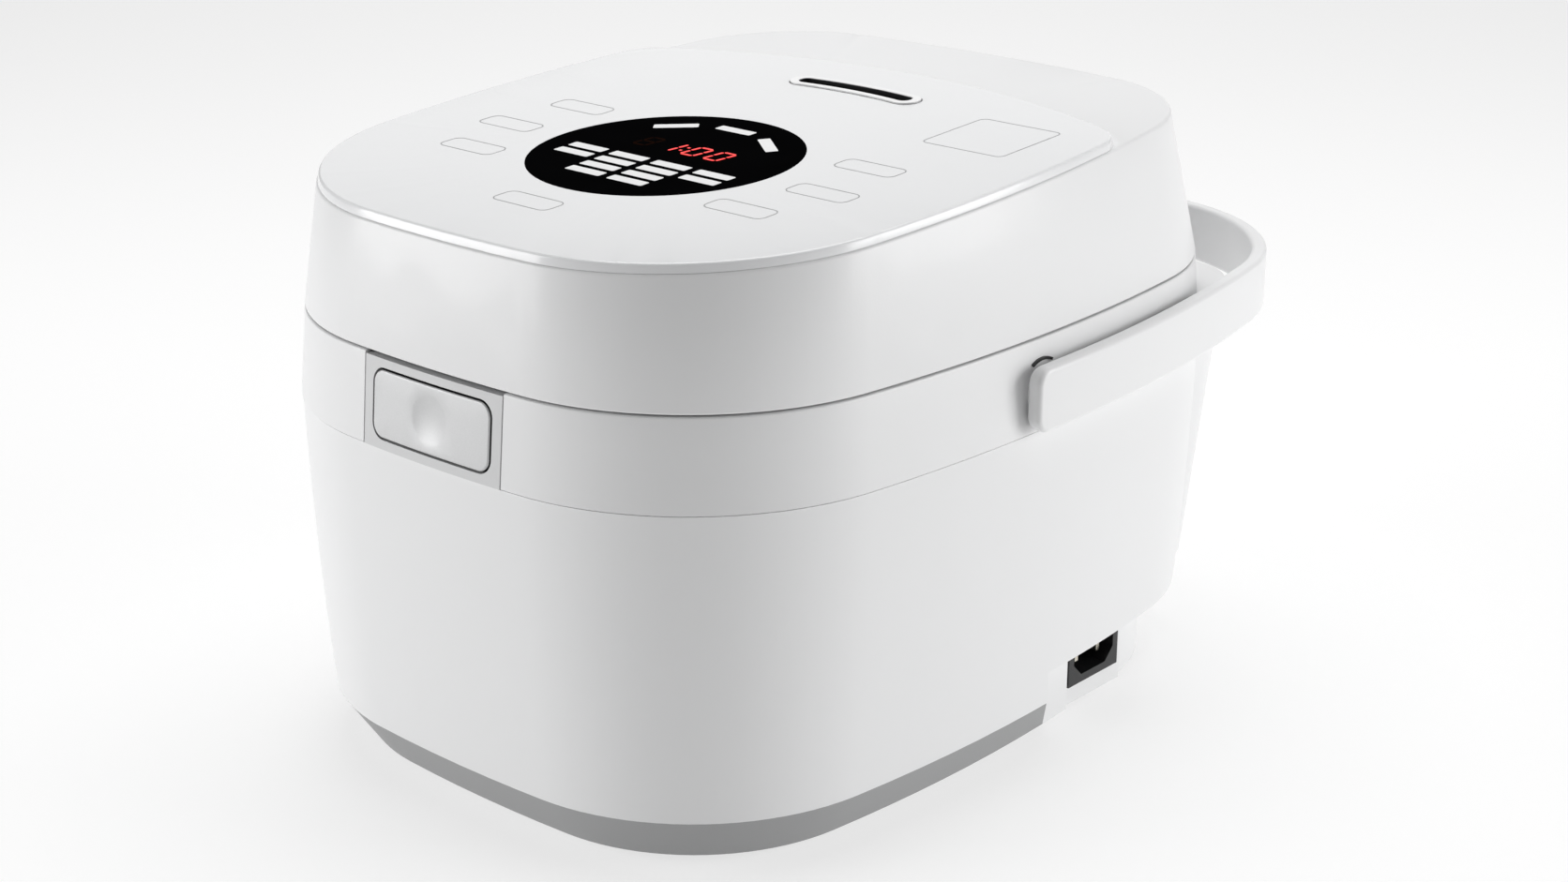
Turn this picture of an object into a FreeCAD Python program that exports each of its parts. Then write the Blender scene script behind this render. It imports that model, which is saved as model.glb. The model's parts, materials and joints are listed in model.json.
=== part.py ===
import FreeCAD, Part

import math
import os

from FreeCAD import Vector

os.makedirs("parts", exist_ok=True)

# A rice cooker with a hinged lid. Millimetres, heights above the table, front towards -Y.

# Body outline at the lid seam, seen from above: bowed sides that run into round corners.
BODY_HALF_WIDTH = 129.5
BODY_HALF_DEPTH = 165.4
FRONT_ARC_R = 627.0
SIDE_ARC_R = 669.0
CORNER_R = 88.0

# Heights where the casings meet.
FOOT_HEIGHT = 3.0
BASE_EDGE_Z = 21.4
BACK_EDGE_Z = 34.5
BELLY_Z = 78.0
BAND_HEIGHT = 32.8
SEAM_GAP = 0.7
BAND_GAP = 0.5
SEAM_EDGE_R = 0.7

# How far each level stands outside the seam outline.
TRAY_BOTTOM_OUT = -15.0
TRAY_TOP_OUT = -2.8
BELLY_OUT = 0.9
SHELL_TOP_OUT = 2.6
BAND_BOTTOM_OUT = 3.1

# Walls and fits.
WALL = 2.5
FLOOR = 3.0
FIT = 0.3
RUNNING = 0.05
SEAT = 0.02
TURN_POINT_COUNT = 48

# Base tray: its grey sides end where the white rear base starts.
REAR_BASE_Y = 10.7
REAR_BASE_SLOPE = 1.232
REAR_BASE_DEPTH = 29.5
REAR_BASE_MARGIN = 20.5
END_WEB = 3.2
FOOT_R = 9.0
FOOT_STEM_R = 4.0
FOOT_INSET_X = 41.5
FOOT_INSET_Y = 85.4
SCREW_INSET_X = 43.5
SCREW_INSET_Y = 59.4
SCREW_R = 1.75
SCREW_HEAD_R = 3.4
SCREW_HEAD_T = 2.2
SCREW_HEAD_DEPTH = 8.0
SCREW_BITE = 14.0
BOSS_R = 5.5
COLUMN_HEIGHT = 26.0
RIB = 2.5
VENT_SLOTS = 7
VENT_SLOT_WIDTH = 3.2
VENT_SLOT_PITCH = 6.5

# Upper band: a skirt locates it inside the lower shell, and its deck carries the pot.
SKIRT_DEPTH = 5.0
SKIRT_RISE = 3.0
SKIRT_WALL = 1.5
DECK_DROP = 5.0
DECK = 2.5

# Inner pot and the well that it hangs in.
POT_R = 98.0
POT_WALL = 2.0
POT_CORNER_R = 30.0
POT_FLOOR_Z = 46.2
POT_DEPTH = 116.0
POT_FLANGE_R = 107.0
POT_FLANGE_T = 1.8
OPENING_GAP = 4.0
WELL_GAP = 5.0
WELL_FLOOR_GAP = 4.0
WELL_WALL = 1.5
WELL_FLANGE = 9.0
WELL_HOLE_R = 17.0

# Induction coil, its carrier and the ferrite bars.
CARRIER_R = 88.0
CARRIER_T = 3.0
CARRIER_DROP = 10.7
CARRIER_LIP = 4.0
COIL_POST_R = 5.0
COIL_POST_PITCH_R = 80.0
COIL_WIRE_R = 1.6
COIL_INNER_R = 24.0
COIL_PITCH = 3.8
COIL_TURNS = 14
FERRITE_COUNT = 6
FERRITE_START = 30.0
FERRITE_LENGTH = 45.0
FERRITE_WIDTH = 10.0
FERRITE_T = 5.0

# Bottom sensor: a sprung plunger against the pot.
SENSOR_R = 14.0
SENSOR_T = 3.0
STEM_R = 7.0
STEM_CLIP_R = 9.0
STEM_CLIP_T = 1.4
STEM_CLIP_GAP = 0.6
HUB_R = 11.0
HUB_RISE = 3.0
HUB_DROP = 5.0
SENSOR_SPRING_R = 9.5
SENSOR_WIRE_R = 0.6
SENSOR_SPRING_TURNS = 4

# Fan and power board on the tray floor.
FAN_X = -45.0
FAN_SETBACK = 61.4
FAN_SIZE = 60.0
FAN_HEIGHT = 15.0
FAN_BORE_R = 28.5
FAN_HUB_R = 13.0
FAN_TIP_GAP = 1.0
FAN_SHAFT_R = 1.5
FAN_BLADES = 7
FAN_BLADE_T = 1.6
FAN_BLADE_TURN = 35.0
FAN_STATOR_T = 4.0
FAN_SPOKE = 4.0
FAN_ROTOR_GAP = 0.8
BOARD_X0 = -10.0
BOARD_LENGTH = 78.0
BOARD_SETBACK = 79.4
BOARD_WIDTH = 46.0
BOARD_T = 1.6
BOARD_LIFT = 6.0
BOARD_POST_R = 3.0
BOARD_POST_INSET = 5.0
SINK_INSET = 10.0
SINK_WIDTH = 26.0
SINK_BACK = 2.0
SINK_BASE = 5.0
SINK_HEIGHT = 41.0
SINK_FINS = 8
SINK_FIN = 2.0
CAPACITOR_R = 8.0
CAPACITOR_HEIGHT = 12.0
CAPACITOR_COUNT = 3
CAPACITOR_PITCH = 22.0

# Power inlet in the right wall of the rear base.
INLET_INSET = 18.5
INLET_SETBACK = 101.4
INLET_PAD_HALF = 20.0
INLET_HALF_WIDTH = 16.0
INLET_BOTTOM_Z = 11.0
INLET_HEIGHT = 23.0
INLET_FLANGE = 1.6
INLET_RIM = 3.2
INLET_CORNER = 5.0
INLET_DEPTH = 18.0
INLET_BACK = 2.5
PIN_WIDTH = 2.0
PIN_HEIGHT = 4.0
PIN_LENGTH = 14.0
PIN_TAIL = 8.0
PIN_PITCH = 7.0
PIN_EARTH_RISE = 4.0

# Rear cover behind the body.
COVER_TOP_INSET = 20.0
COVER_BOTTOM_INSET = 30.0
COVER_HALF_DEPTH = 60.0
COVER_STAND_TOP = 11.6
COVER_STAND_BOTTOM = 2.6
COVER_DROP = 17.2
COVER_ARC_R = 330.0
COVER_SIDE_R = 900.0
COVER_CORNER_R = 24.0
COVER_GAP = 0.1

# Front button, its bezel and the latch behind it.
BEZEL_HALF_WIDTH = 34.0
BEZEL_GAP = 0.6
BEZEL_WALL = 3.0
BEZEL_DROP = 0.9
BEZEL_LIFT = 0.2
SHELF_T = 2.5
SHELF_BACK = 11.0
BUTTON_HALF_WIDTH = 29.0
BUTTON_DROP = 28.5
BUTTON_HEIGHT = 23.8
BUTTON_CORNER_R = 5.0
BUTTON_PROUD = 0.4
BUTTON_WALL = 4.0
BUTTON_GAP = 0.8
BUTTON_EDGE_R = 0.8
BUTTON_TRAVEL = 3.0
DIMPLE_R = 9.0
DIMPLE_DEPTH = 1.2
STEM_HALF_WIDTH = 4.5
STEM_TIP_R = 1.5
STEM_LIFT = 2.3
STEM_TIP_GAP = 0.5
LATCH_ARM = 11.0
LATCH_SETBACK = 29.4
LATCH_HALF_WIDTH = 9.0
LATCH_T = 4.0
LATCH_BARREL_R = 4.0
LATCH_TAIL = 3.0
LATCH_PIN_R = 1.5
LATCH_TOP_GAP = 2.2
LATCH_SWING = 5.5
STRIKE_ROOM = 2.0
NOSE_T = 2.3
NOSE_REACH = 5.6
NOSE_GAP = 0.4
STRIKE_T = 2.0
STRIKE_TOE = 3.5
STRIKE_TOE_T = 1.0
STRIKE_HALF_WIDTH = 9.0
EAR_T = 2.5
EAR_GAP = 0.5
HOUSING_T = 3.0
HOUSING_SPACE = 10.0
HOUSING_HALF_WIDTH = 24.0
HOUSING_BOTTOM_GAP = 1.6
BUTTON_SPRING_R = 5.0
BUTTON_WIRE_R = 0.5
BUTTON_SPRING_TURNS = 5

# Carry handle: a strap bent to a bow that follows the body, and the pivots in the band.
HANDLE_SIDE_GAP = 0.6
HANDLE_REACH = 49.6
HANDLE_ARC_R = 600.0
HANDLE_SIDE_R = 678.0
HANDLE_CORNER_R = 86.0
HANDLE_T = 6.0
HANDLE_DROP = 30.7
HANDLE_HEIGHT = 23.5
HANDLE_END_Y = -13.5
HANDLE_END_R = 6.0
HANDLE_EDGE_R = 1.8
PIVOT_Y = -1.5
PIVOT_R = 5.0
PIVOT_BLIND = 2.0
PIVOT_BOSS_R = 9.0
PIVOT_BOSS_BACK = 8.0
PIVOT_FLANGE_R = 7.5
PIVOT_FLANGE_T = 2.0

# Lid hinge behind the seam.
HINGE_BACK = 8.6
HINGE_DROP = 7.2
HINGE_PIN_R = 2.5
KNUCKLE_R = 7.0
LID_KNUCKLE_IN = 28.0
LID_KNUCKLE_OUT = 45.0
BODY_KNUCKLE_T = 12.0
KNUCKLE_GAP = 0.5
HINGE_ARM_T = 4.2
HINGE_ARM_REACH = 26.0
HINGE_ARM_CLEAR = 1.2
HINGE_SPRING_R = 4.0
HINGE_WIRE_R = 0.8
HINGE_SPRING_TURNS = 6
HINGE_SPRING_PITCH = 2.4

# Lid: drafted walls, and a top that rises towards the back.
LID_HEIGHT = 52.8
LID_SLOPE = 3.15
LID_FRONT_DRAFT = 7.8
LID_SIDE_DRAFT = 6.4
LID_REAR_DRAFT = 26.5
LID_REAR_CORNER_R = 55.0
LID_APEX_MARGIN = 5.0
LID_DECK = 2.5
RIM_FILLET = 1.6
PANEL_T = 3.2
PANEL_INSET = 0.5
PANEL_SETBACK = 80.4
PANEL_REAR_R = 270.0
PANEL_CORNER_R = 20.0
PANEL_EDGE_R = 1.2
DISPLAY_R = 50.0
DISPLAY_SETBACK = 113.4
DISPLAY_LEDGE = 4.0
DISPLAY_FIT = 0.15
MODULE_HALF_WIDTH = 32.0
MODULE_HALF_DEPTH = 15.0
MODULE_T = 9.0
LID_BOARD_HALF_WIDTH = 58.0
LID_BOARD_HALF_DEPTH = 38.0
LID_BOARD_POST_INSET = 8.0
VENT_SETBACK = 112.4
VENT_HALF_LENGTH = 31.0
VENT_HALF_WIDTH = 5.8
VENT_SLOT_HALF_LENGTH = 27.5
VENT_SLOT_HALF_WIDTH = 3.3
VENT_BOW = 1.7
VENT_RISE = 0.6
VENT_LEDGE = 1.5
CHAMBER_HALF_WIDTH = 34.0
CHAMBER_HALF_DEPTH = 15.0
CHAMBER_WALL = 2.0
STEAM_HOLE_R = 9.0
GROMMET_WALL = 3.0
GROMMET_FLANGE = 3.0
GROMMET_FLANGE_T = 1.0
GROMMET_RISE = 1.2
FRAME_LIFT = 0.5
FRAME_T = 2.5
LID_POST_R = 4.5
LID_POST_INSET_X = 37.5
LID_POST_FRONT = 69.4
LID_POST_REAR = 95.4
INNER_LID_R = 99.0
INNER_LID_T = 1.2
GASKET_WIDTH = 7.0
GASKET_GAP = 0.3
LID_SENSOR_R = 8.0
LID_SENSOR_Y = -45.0
LID_SENSOR_DROP = 1.7

# Heights and places worked out from the sizes above.
FLOOR_TOP_Z = FOOT_HEIGHT + FLOOR
POT_BOTTOM_Z = POT_FLOOR_Z
DECK_TOP_Z = POT_BOTTOM_Z + POT_DEPTH
DECK_BOTTOM_Z = DECK_TOP_Z - DECK
SEAM_Z = DECK_TOP_Z + DECK_DROP
BAND_BOTTOM_Z = SEAM_Z - BAND_HEIGHT
COVER_TOP_Z = SEAM_Z - COVER_DROP
HANDLE_BOTTOM_Z = SEAM_Z - HANDLE_DROP
BUTTON_BOTTOM_Z = SEAM_Z - BUTTON_DROP
LID_RIM_Z = SEAM_Z + LID_HEIGHT
HANDLE_HALF_WIDTH = BODY_HALF_WIDTH + BAND_BOTTOM_OUT + HANDLE_SIDE_GAP + HANDLE_T
HANDLE_REAR = BODY_HALF_DEPTH + HANDLE_REACH
COVER_TOP_HALF_WIDTH = BODY_HALF_WIDTH - COVER_TOP_INSET
COVER_BOTTOM_HALF_WIDTH = BODY_HALF_WIDTH - COVER_BOTTOM_INSET
COVER_REAR_TOP = BODY_HALF_DEPTH + COVER_STAND_TOP
COVER_REAR_BOTTOM = BODY_HALF_DEPTH + COVER_STAND_BOTTOM
LATCH_Y = LATCH_SETBACK - BODY_HALF_DEPTH
FAN_Y = BODY_HALF_DEPTH - FAN_SETBACK
BOARD_Y0 = BODY_HALF_DEPTH - BOARD_SETBACK
INLET_FACE_X = BODY_HALF_WIDTH - INLET_INSET
INLET_Y = BODY_HALF_DEPTH - INLET_SETBACK
PANEL_REAR_Y = BODY_HALF_DEPTH - PANEL_SETBACK
DISPLAY_Y = DISPLAY_SETBACK - BODY_HALF_DEPTH
VENT_Y = BODY_HALF_DEPTH - VENT_SETBACK
VENT_REACH = VENT_SLOT_HALF_LENGTH - VENT_SLOT_HALF_WIDTH
VENT_BOW_R = (VENT_REACH ** 2 + VENT_BOW ** 2) / (2 * VENT_BOW)
VENT_HUB_Y = VENT_Y + VENT_BOW / 2 - VENT_BOW_R
LID_POST_FRONT_Y = LID_POST_FRONT - BODY_HALF_DEPTH
LID_POST_REAR_Y = BODY_HALF_DEPTH - LID_POST_REAR
POT_RIM_Z = DECK_TOP_Z + POT_FLANGE_T
WELL_R = POT_R + WELL_GAP
WELL_BOTTOM_Z = POT_BOTTOM_Z - WELL_FLOOR_GAP - WELL_WALL
CARRIER_TOP_Z = WELL_BOTTOM_Z - CARRIER_DROP
CARRIER_BOTTOM_Z = CARRIER_TOP_Z - CARRIER_T
HUB_TOP_Z = CARRIER_TOP_Z + HUB_RISE
HUB_BOTTOM_Z = CARRIER_BOTTOM_Z - HUB_DROP
BOARD_Z = FLOOR_TOP_Z + BOARD_LIFT
BOARD_TOP_Z = BOARD_Z + BOARD_T
LID_BOTTOM_Z = SEAM_Z + SEAM_GAP
FRAME_BOTTOM_Z = LID_BOTTOM_Z + FRAME_LIFT
FRAME_TOP_Z = FRAME_BOTTOM_Z + FRAME_T
LID_RISE = math.tan(math.radians(LID_SLOPE))
LID_APEX_Z = LID_RIM_Z + PANEL_T + BODY_HALF_DEPTH * LID_RISE + LID_APEX_MARGIN
HINGE_Y = BODY_HALF_DEPTH + HINGE_BACK
HINGE_Z = SEAM_Z - HINGE_DROP
PIVOT_Z = HANDLE_BOTTOM_Z + HANDLE_HEIGHT / 2
REAR_BASE_OUT = TRAY_BOTTOM_OUT
STEM_Z = BUTTON_BOTTOM_Z + STEM_LIFT
LATCH_Z = STEM_Z + LATCH_ARM
LATCH_TOP_Z = FRAME_BOTTOM_Z - LATCH_TOP_GAP
HOUSING_Y = LATCH_Y - HOUSING_SPACE
STRIKE_Y = LATCH_Y + LATCH_T / 2 + NOSE_REACH + NOSE_GAP + STRIKE_TOE
FAR = 4 * BODY_HALF_DEPTH
BODY_FRONT = BODY_HALF_DEPTH + BAND_BOTTOM_OUT
FRAME_SHIFT_Y = (BODY_FRONT - HANDLE_REAR) / 2
SIDES = (-1, 1)


def box(x0, x1, y0, y1, z0, z1):
    return Part.makeBox(x1 - x0, y1 - y0, z1 - z0, Vector(x0, y0, z0))


def slab(z0, z1):
    return box(-FAR, FAR, -FAR, FAR, z0, z1)


def disc(radius, x, y, z0, z1):
    return Part.makeCylinder(radius, z1 - z0, Vector(x, y, z0))


def rod_x(radius, x0, x1, y, z):
    return Part.makeCylinder(radius, x1 - x0, Vector(x0, y, z), Vector(1, 0, 0))


def joined(shapes):
    return shapes[0].fuse(shapes[1:]).removeSplitter()


def edges_along(shape, axis):
    found = []
    for edge in shape.Edges:
        run = edge.Vertexes[-1].Point - edge.Vertexes[0].Point
        if run.Length > 0 and abs(run.dot(axis)) > 0.999 * run.Length:
            found.append(edge)
    return found


def corners():
    return [(side_x, side_y) for side_x in SIDES for side_y in SIDES]


def corner_points(half_width, half_depth, front_r, side_r, corner_r):
    # Where a round corner meets the bowed front and the bowed side, and the middle of its arc.
    front_c = Vector(0, front_r - half_depth, 0)
    side_c = Vector(half_width - side_r, 0, 0)
    span = side_c - front_c
    front_reach = front_r - corner_r
    side_reach = side_r - corner_r
    along = (front_reach ** 2 - side_reach ** 2 + span.Length ** 2) / (2 * span.Length)
    across = math.sqrt(front_reach ** 2 - along ** 2)
    unit = span / span.Length
    corner_c = front_c + unit * along + Vector(-unit.y, unit.x, 0) * across
    on_front = front_c + (corner_c - front_c).normalize() * front_r
    on_side = side_c + (corner_c - side_c).normalize() * side_r
    middle = (on_front - corner_c) + (on_side - corner_c)
    on_corner = corner_c + middle.normalize() * corner_r
    return on_front, on_corner, on_side


def outline(half_width, half_depth, radii, y_mid, z, rear_corner_r=None):
    # Eight tangent arcs: front, sides and back bowed, with a round corner between each pair.
    front_r, side_r, corner_r = radii
    if rear_corner_r is None:
        rear_corner_r = corner_r
    on_front, on_corner, on_side = corner_points(half_width, half_depth, front_r, side_r, corner_r)
    on_rear, rear_corner, rear_side = corner_points(half_width, half_depth, front_r, side_r, rear_corner_r)
    front = Vector(0, -half_depth, 0)
    side = Vector(half_width, 0, 0)

    def at(point, sign_x, sign_y):
        return Vector(sign_x * point.x, sign_y * point.y + y_mid, z)

    arcs = [
        (at(on_front, -1, 1), at(front, 1, 1), at(on_front, 1, 1)),
        (at(on_front, 1, 1), at(on_corner, 1, 1), at(on_side, 1, 1)),
        (at(on_side, 1, 1), at(side, 1, 1), at(rear_side, 1, -1)),
        (at(rear_side, 1, -1), at(rear_corner, 1, -1), at(on_rear, 1, -1)),
        (at(on_rear, 1, -1), at(front, 1, -1), at(on_rear, -1, -1)),
        (at(on_rear, -1, -1), at(rear_corner, -1, -1), at(rear_side, -1, -1)),
        (at(rear_side, -1, -1), at(side, -1, 1), at(on_side, -1, 1)),
        (at(on_side, -1, 1), at(on_corner, -1, 1), at(on_front, -1, 1)),
    ]
    return Part.Wire([Part.Arc(*arc).toShape() for arc in arcs])


def body_wire(out, z):
    radii = (FRONT_ARC_R + out, SIDE_ARC_R + out, CORNER_R + out)
    return outline(BODY_HALF_WIDTH + out, BODY_HALF_DEPTH + out, radii, 0, z)


def body_prism(out, z0, z1):
    return Part.Face(body_wire(out, z0)).extrude(Vector(0, 0, z1 - z0))


def tray_block(inset):
    low = body_wire(TRAY_BOTTOM_OUT - inset, FOOT_HEIGHT)
    high = body_wire(TRAY_TOP_OUT - inset, BASE_EDGE_Z)
    return Part.makeLoft([low, high], True, True)


def shell_block(inset):
    low = body_wire(TRAY_TOP_OUT - inset, BASE_EDGE_Z)
    belly = body_wire(BELLY_OUT - inset, BELLY_Z)
    high = body_wire(SHELL_TOP_OUT - inset, BAND_BOTTOM_Z)
    return Part.makeLoft([low, belly, high], True, False)


def band_block(inset):
    low = body_wire(BAND_BOTTOM_OUT - inset, BAND_BOTTOM_Z)
    high = body_wire(-inset, SEAM_Z)
    return Part.makeLoft([low, high], True, True)


def lid_block(inset):
    rise = LID_APEX_Z - LID_BOTTOM_Z
    side = BODY_HALF_WIDTH - rise * math.tan(math.radians(LID_SIDE_DRAFT))
    front = BODY_HALF_DEPTH - rise * math.tan(math.radians(LID_FRONT_DRAFT))
    rear = BODY_HALF_DEPTH - rise * math.tan(math.radians(LID_REAR_DRAFT))
    radii = (FRONT_ARC_R - inset, SIDE_ARC_R - inset, CORNER_R - inset)
    low = body_wire(-inset, LID_BOTTOM_Z)
    high = outline(side - inset, (front + rear) / 2 - inset, radii, (rear - front) / 2, LID_APEX_Z,
                   LID_REAR_CORNER_R - inset)
    return Part.makeLoft([low, high], True, True)


def on_lid(shape):
    # Lays a shape that was drawn flat on the sloping deck of the lid.
    shape.rotate(Vector(0, 0, 0), Vector(1, 0, 0), LID_SLOPE)
    shape.translate(Vector(0, 0, LID_RIM_Z))
    return shape


def under_lid_plane(height):
    return on_lid(slab(-FAR, height))


def bowed_slot(half_length, half_width, z0, z1):
    # A round-ended slot along an arc, its middle a little nearer the hinge than its ends.
    spread = math.asin((half_length - half_width) / VENT_BOW_R)

    def spot(out, turn):
        reach = VENT_BOW_R + out
        return Vector(reach * math.sin(turn), VENT_HUB_Y + reach * math.cos(turn), z0)

    def tip(side):
        return spot(0, side * spread) + Vector(side * math.cos(spread), -math.sin(spread), 0) * half_width

    arcs = [
        (spot(half_width, -spread), spot(half_width, 0), spot(half_width, spread)),
        (spot(half_width, spread), tip(1), spot(-half_width, spread)),
        (spot(-half_width, spread), spot(-half_width, 0), spot(-half_width, -spread)),
        (spot(-half_width, -spread), tip(-1), spot(half_width, -spread)),
    ]
    wire = Part.Wire([Part.Arc(*arc).toShape() for arc in arcs])
    return Part.Face(wire).extrude(Vector(0, 0, z1 - z0))


def rounded_plug(radius, corner_r, z0, z1):
    plug = disc(radius, 0, 0, z0, z1)
    rim = [edge for edge in plug.Edges if edge.BoundBox.ZMax < (z0 + z1) / 2]
    return plug.makeFillet(corner_r, rim)


def biarc(start, start_way, end, end_way):
    # Two arcs that join two points and leave and arrive along the given unit directions.
    chord = end - start
    ways = start_way + end_way
    bend = 2 * (1 - start_way.dot(end_way))
    reach = (math.sqrt(chord.dot(ways) ** 2 + bend * chord.dot(chord)) - chord.dot(ways)) / bend
    leave = start + start_way * reach
    arrive = end - end_way * reach
    meet = (leave + arrive) * 0.5
    arcs = []
    for first, corner, last in ((start, leave, meet), (meet, arrive, end)):
        middle = (first + last) * 0.5
        turn = (corner - first).getAngle(last - first)
        apex = middle + (corner - middle) * (math.tan(turn / 2) / math.tan(turn))
        arcs.append(Part.Arc(first, apex, last).toShape())
    return arcs


def coil_spring(name, radius, wire_r, pitch, turns):
    # A round wire wound up the Z axis from the origin, in quarter turns.
    def point(quarter):
        angle = quarter * math.pi / 2
        return Vector(radius * math.cos(angle), radius * math.sin(angle), pitch * quarter / 4)

    def way(quarter):
        angle = quarter * math.pi / 2
        climb = pitch / (2 * math.pi)
        return Vector(-radius * math.sin(angle), radius * math.cos(angle), climb).normalize()

    arcs = []
    for quarter in range(4 * turns):
        arcs += biarc(point(quarter), way(quarter), point(quarter + 1), way(quarter + 1))
    path = Part.Wire(arcs)
    print_least_gap(name, path.discretize(Number=turns * TURN_POINT_COUNT), wire_r, TURN_POINT_COUNT)
    section = Part.Wire([Part.makeCircle(wire_r, point(0), way(0))])
    return path.makePipeShell([section], True)


def print_least_gap(name, points, wire_r, per_turn):
    # Points more than half a turn apart, so that neighbours along the wire don't count.
    gap = FAR
    for index, point in enumerate(points):
        for other in points[index + per_turn // 2:]:
            gap = min(gap, point.distanceToPoint(other) - 2 * wire_r)
    print(name, "least gap to itself, mm:", round(gap, 3))


def foot_spots():
    x = BODY_HALF_WIDTH - FOOT_INSET_X
    y = BODY_HALF_DEPTH - FOOT_INSET_Y
    return [(side_x * x, side_y * y) for side_x, side_y in corners()]


def screw_spots():
    x = BODY_HALF_WIDTH - SCREW_INSET_X
    y = BODY_HALF_DEPTH - SCREW_INSET_Y
    return [(side_x * x, side_y * y) for side_x, side_y in corners()]


def coil_post_spots():
    reach = COIL_POST_PITCH_R * math.sqrt(0.5)
    return [(side_x * reach, side_y * reach) for side_x, side_y in corners()]


def board_post_spots():
    xs = (BOARD_X0 + BOARD_POST_INSET, BOARD_X0 + BOARD_LENGTH - BOARD_POST_INSET)
    ys = (BOARD_Y0 + BOARD_POST_INSET, BOARD_Y0 + BOARD_WIDTH - BOARD_POST_INSET)
    return [(x, y) for x in xs for y in ys]


def behind_rear_base_line(forward):
    # Everything behind the slanting line where the grey sides end.
    x_out = BODY_HALF_WIDTH + REAR_BASE_MARGIN
    x_in = BODY_HALF_WIDTH - REAR_BASE_DEPTH
    y_out = REAR_BASE_Y - REAR_BASE_MARGIN * REAR_BASE_SLOPE - forward
    y_in = REAR_BASE_Y + REAR_BASE_DEPTH * REAR_BASE_SLOPE - forward
    points = [(x_out, y_out), (x_out, FAR), (-x_out, FAR), (-x_out, y_out), (-x_in, y_in), (x_in, y_in)]
    ring = [Vector(x, y, 0) for x, y in points]
    face = Part.Face(Part.makePolygon(ring + ring[:1]))
    return face.extrude(Vector(0, 0, LID_BOTTOM_Z))


def inlet_pad_room(clearance):
    half = INLET_PAD_HALF + clearance
    return box(INLET_FACE_X - 2 * WALL - clearance, FAR, INLET_Y - half, INLET_Y + half, 0, BACK_EDGE_Z)


def rear_base_core(clearance):
    # The space inside the walls of the rear base.
    return body_prism(REAR_BASE_OUT - WALL - clearance, FOOT_HEIGHT - FIT, BACK_EDGE_Z + FIT)


def make_base_tray():
    outer = tray_block(0)
    cavity = tray_block(WALL).common(slab(FLOOR_TOP_Z, BASE_EDGE_Z))
    end_web = outer.common(behind_rear_base_line(END_WEB)).cut(rear_base_core(FIT))
    rear_cut = behind_rear_base_line(0).cut(rear_base_core(FIT))
    tray = outer.cut(cavity).fuse(end_web).cut([rear_cut, inlet_pad_room(FIT)])
    posts = [disc(BOSS_R, x, y, FOOT_HEIGHT, BASE_EDGE_Z) for x, y in screw_spots()]
    posts += [disc(COIL_POST_R, x, y, FOOT_HEIGHT, CARRIER_BOTTOM_Z) for x, y in coil_post_spots()]
    posts += [disc(BOARD_POST_R, x, y, FOOT_HEIGHT, BOARD_Z) for x, y in board_post_spots()]
    tray = joined([tray] + posts)
    head_top = FOOT_HEIGHT + SCREW_HEAD_DEPTH
    holes = [disc(SCREW_R + FIT, x, y, FOOT_HEIGHT, BASE_EDGE_Z) for x, y in screw_spots()]
    holes += [disc(SCREW_HEAD_R + FIT, x, y, FOOT_HEIGHT, head_top) for x, y in screw_spots()]
    holes += [disc(FOOT_STEM_R + SEAT, x, y, FOOT_HEIGHT, FLOOR_TOP_Z) for x, y in foot_spots()]
    first = FAN_Y - VENT_SLOT_PITCH * (VENT_SLOTS - 1) / 2
    for index in range(VENT_SLOTS):
        y = first + index * VENT_SLOT_PITCH
        half = math.sqrt((FAN_BORE_R - WALL) ** 2 - (y - FAN_Y) ** 2)
        holes.append(box(FAN_X - half, FAN_X + half, y - VENT_SLOT_WIDTH / 2, y + VENT_SLOT_WIDTH / 2,
                         FOOT_HEIGHT, FLOOR_TOP_Z))
    return tray.cut(holes)


def make_rubber_feet():
    feet = []
    for x, y in foot_spots():
        pad = disc(FOOT_R, x, y, 0, FOOT_HEIGHT)
        stem = disc(FOOT_STEM_R, x, y, FOOT_HEIGHT, FLOOR_TOP_Z)
        feet.append(joined([pad, stem]))
    return Part.makeCompound(feet)


def make_base_screws():
    screws = []
    head_top = FOOT_HEIGHT + SCREW_HEAD_DEPTH
    for x, y in screw_spots():
        head = disc(SCREW_HEAD_R, x, y, head_top - SCREW_HEAD_T, head_top)
        shank = disc(SCREW_R, x, y, head_top, BASE_EDGE_Z + SCREW_BITE)
        screws.append(joined([head, shank]))
    return Part.makeCompound(screws)


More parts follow.
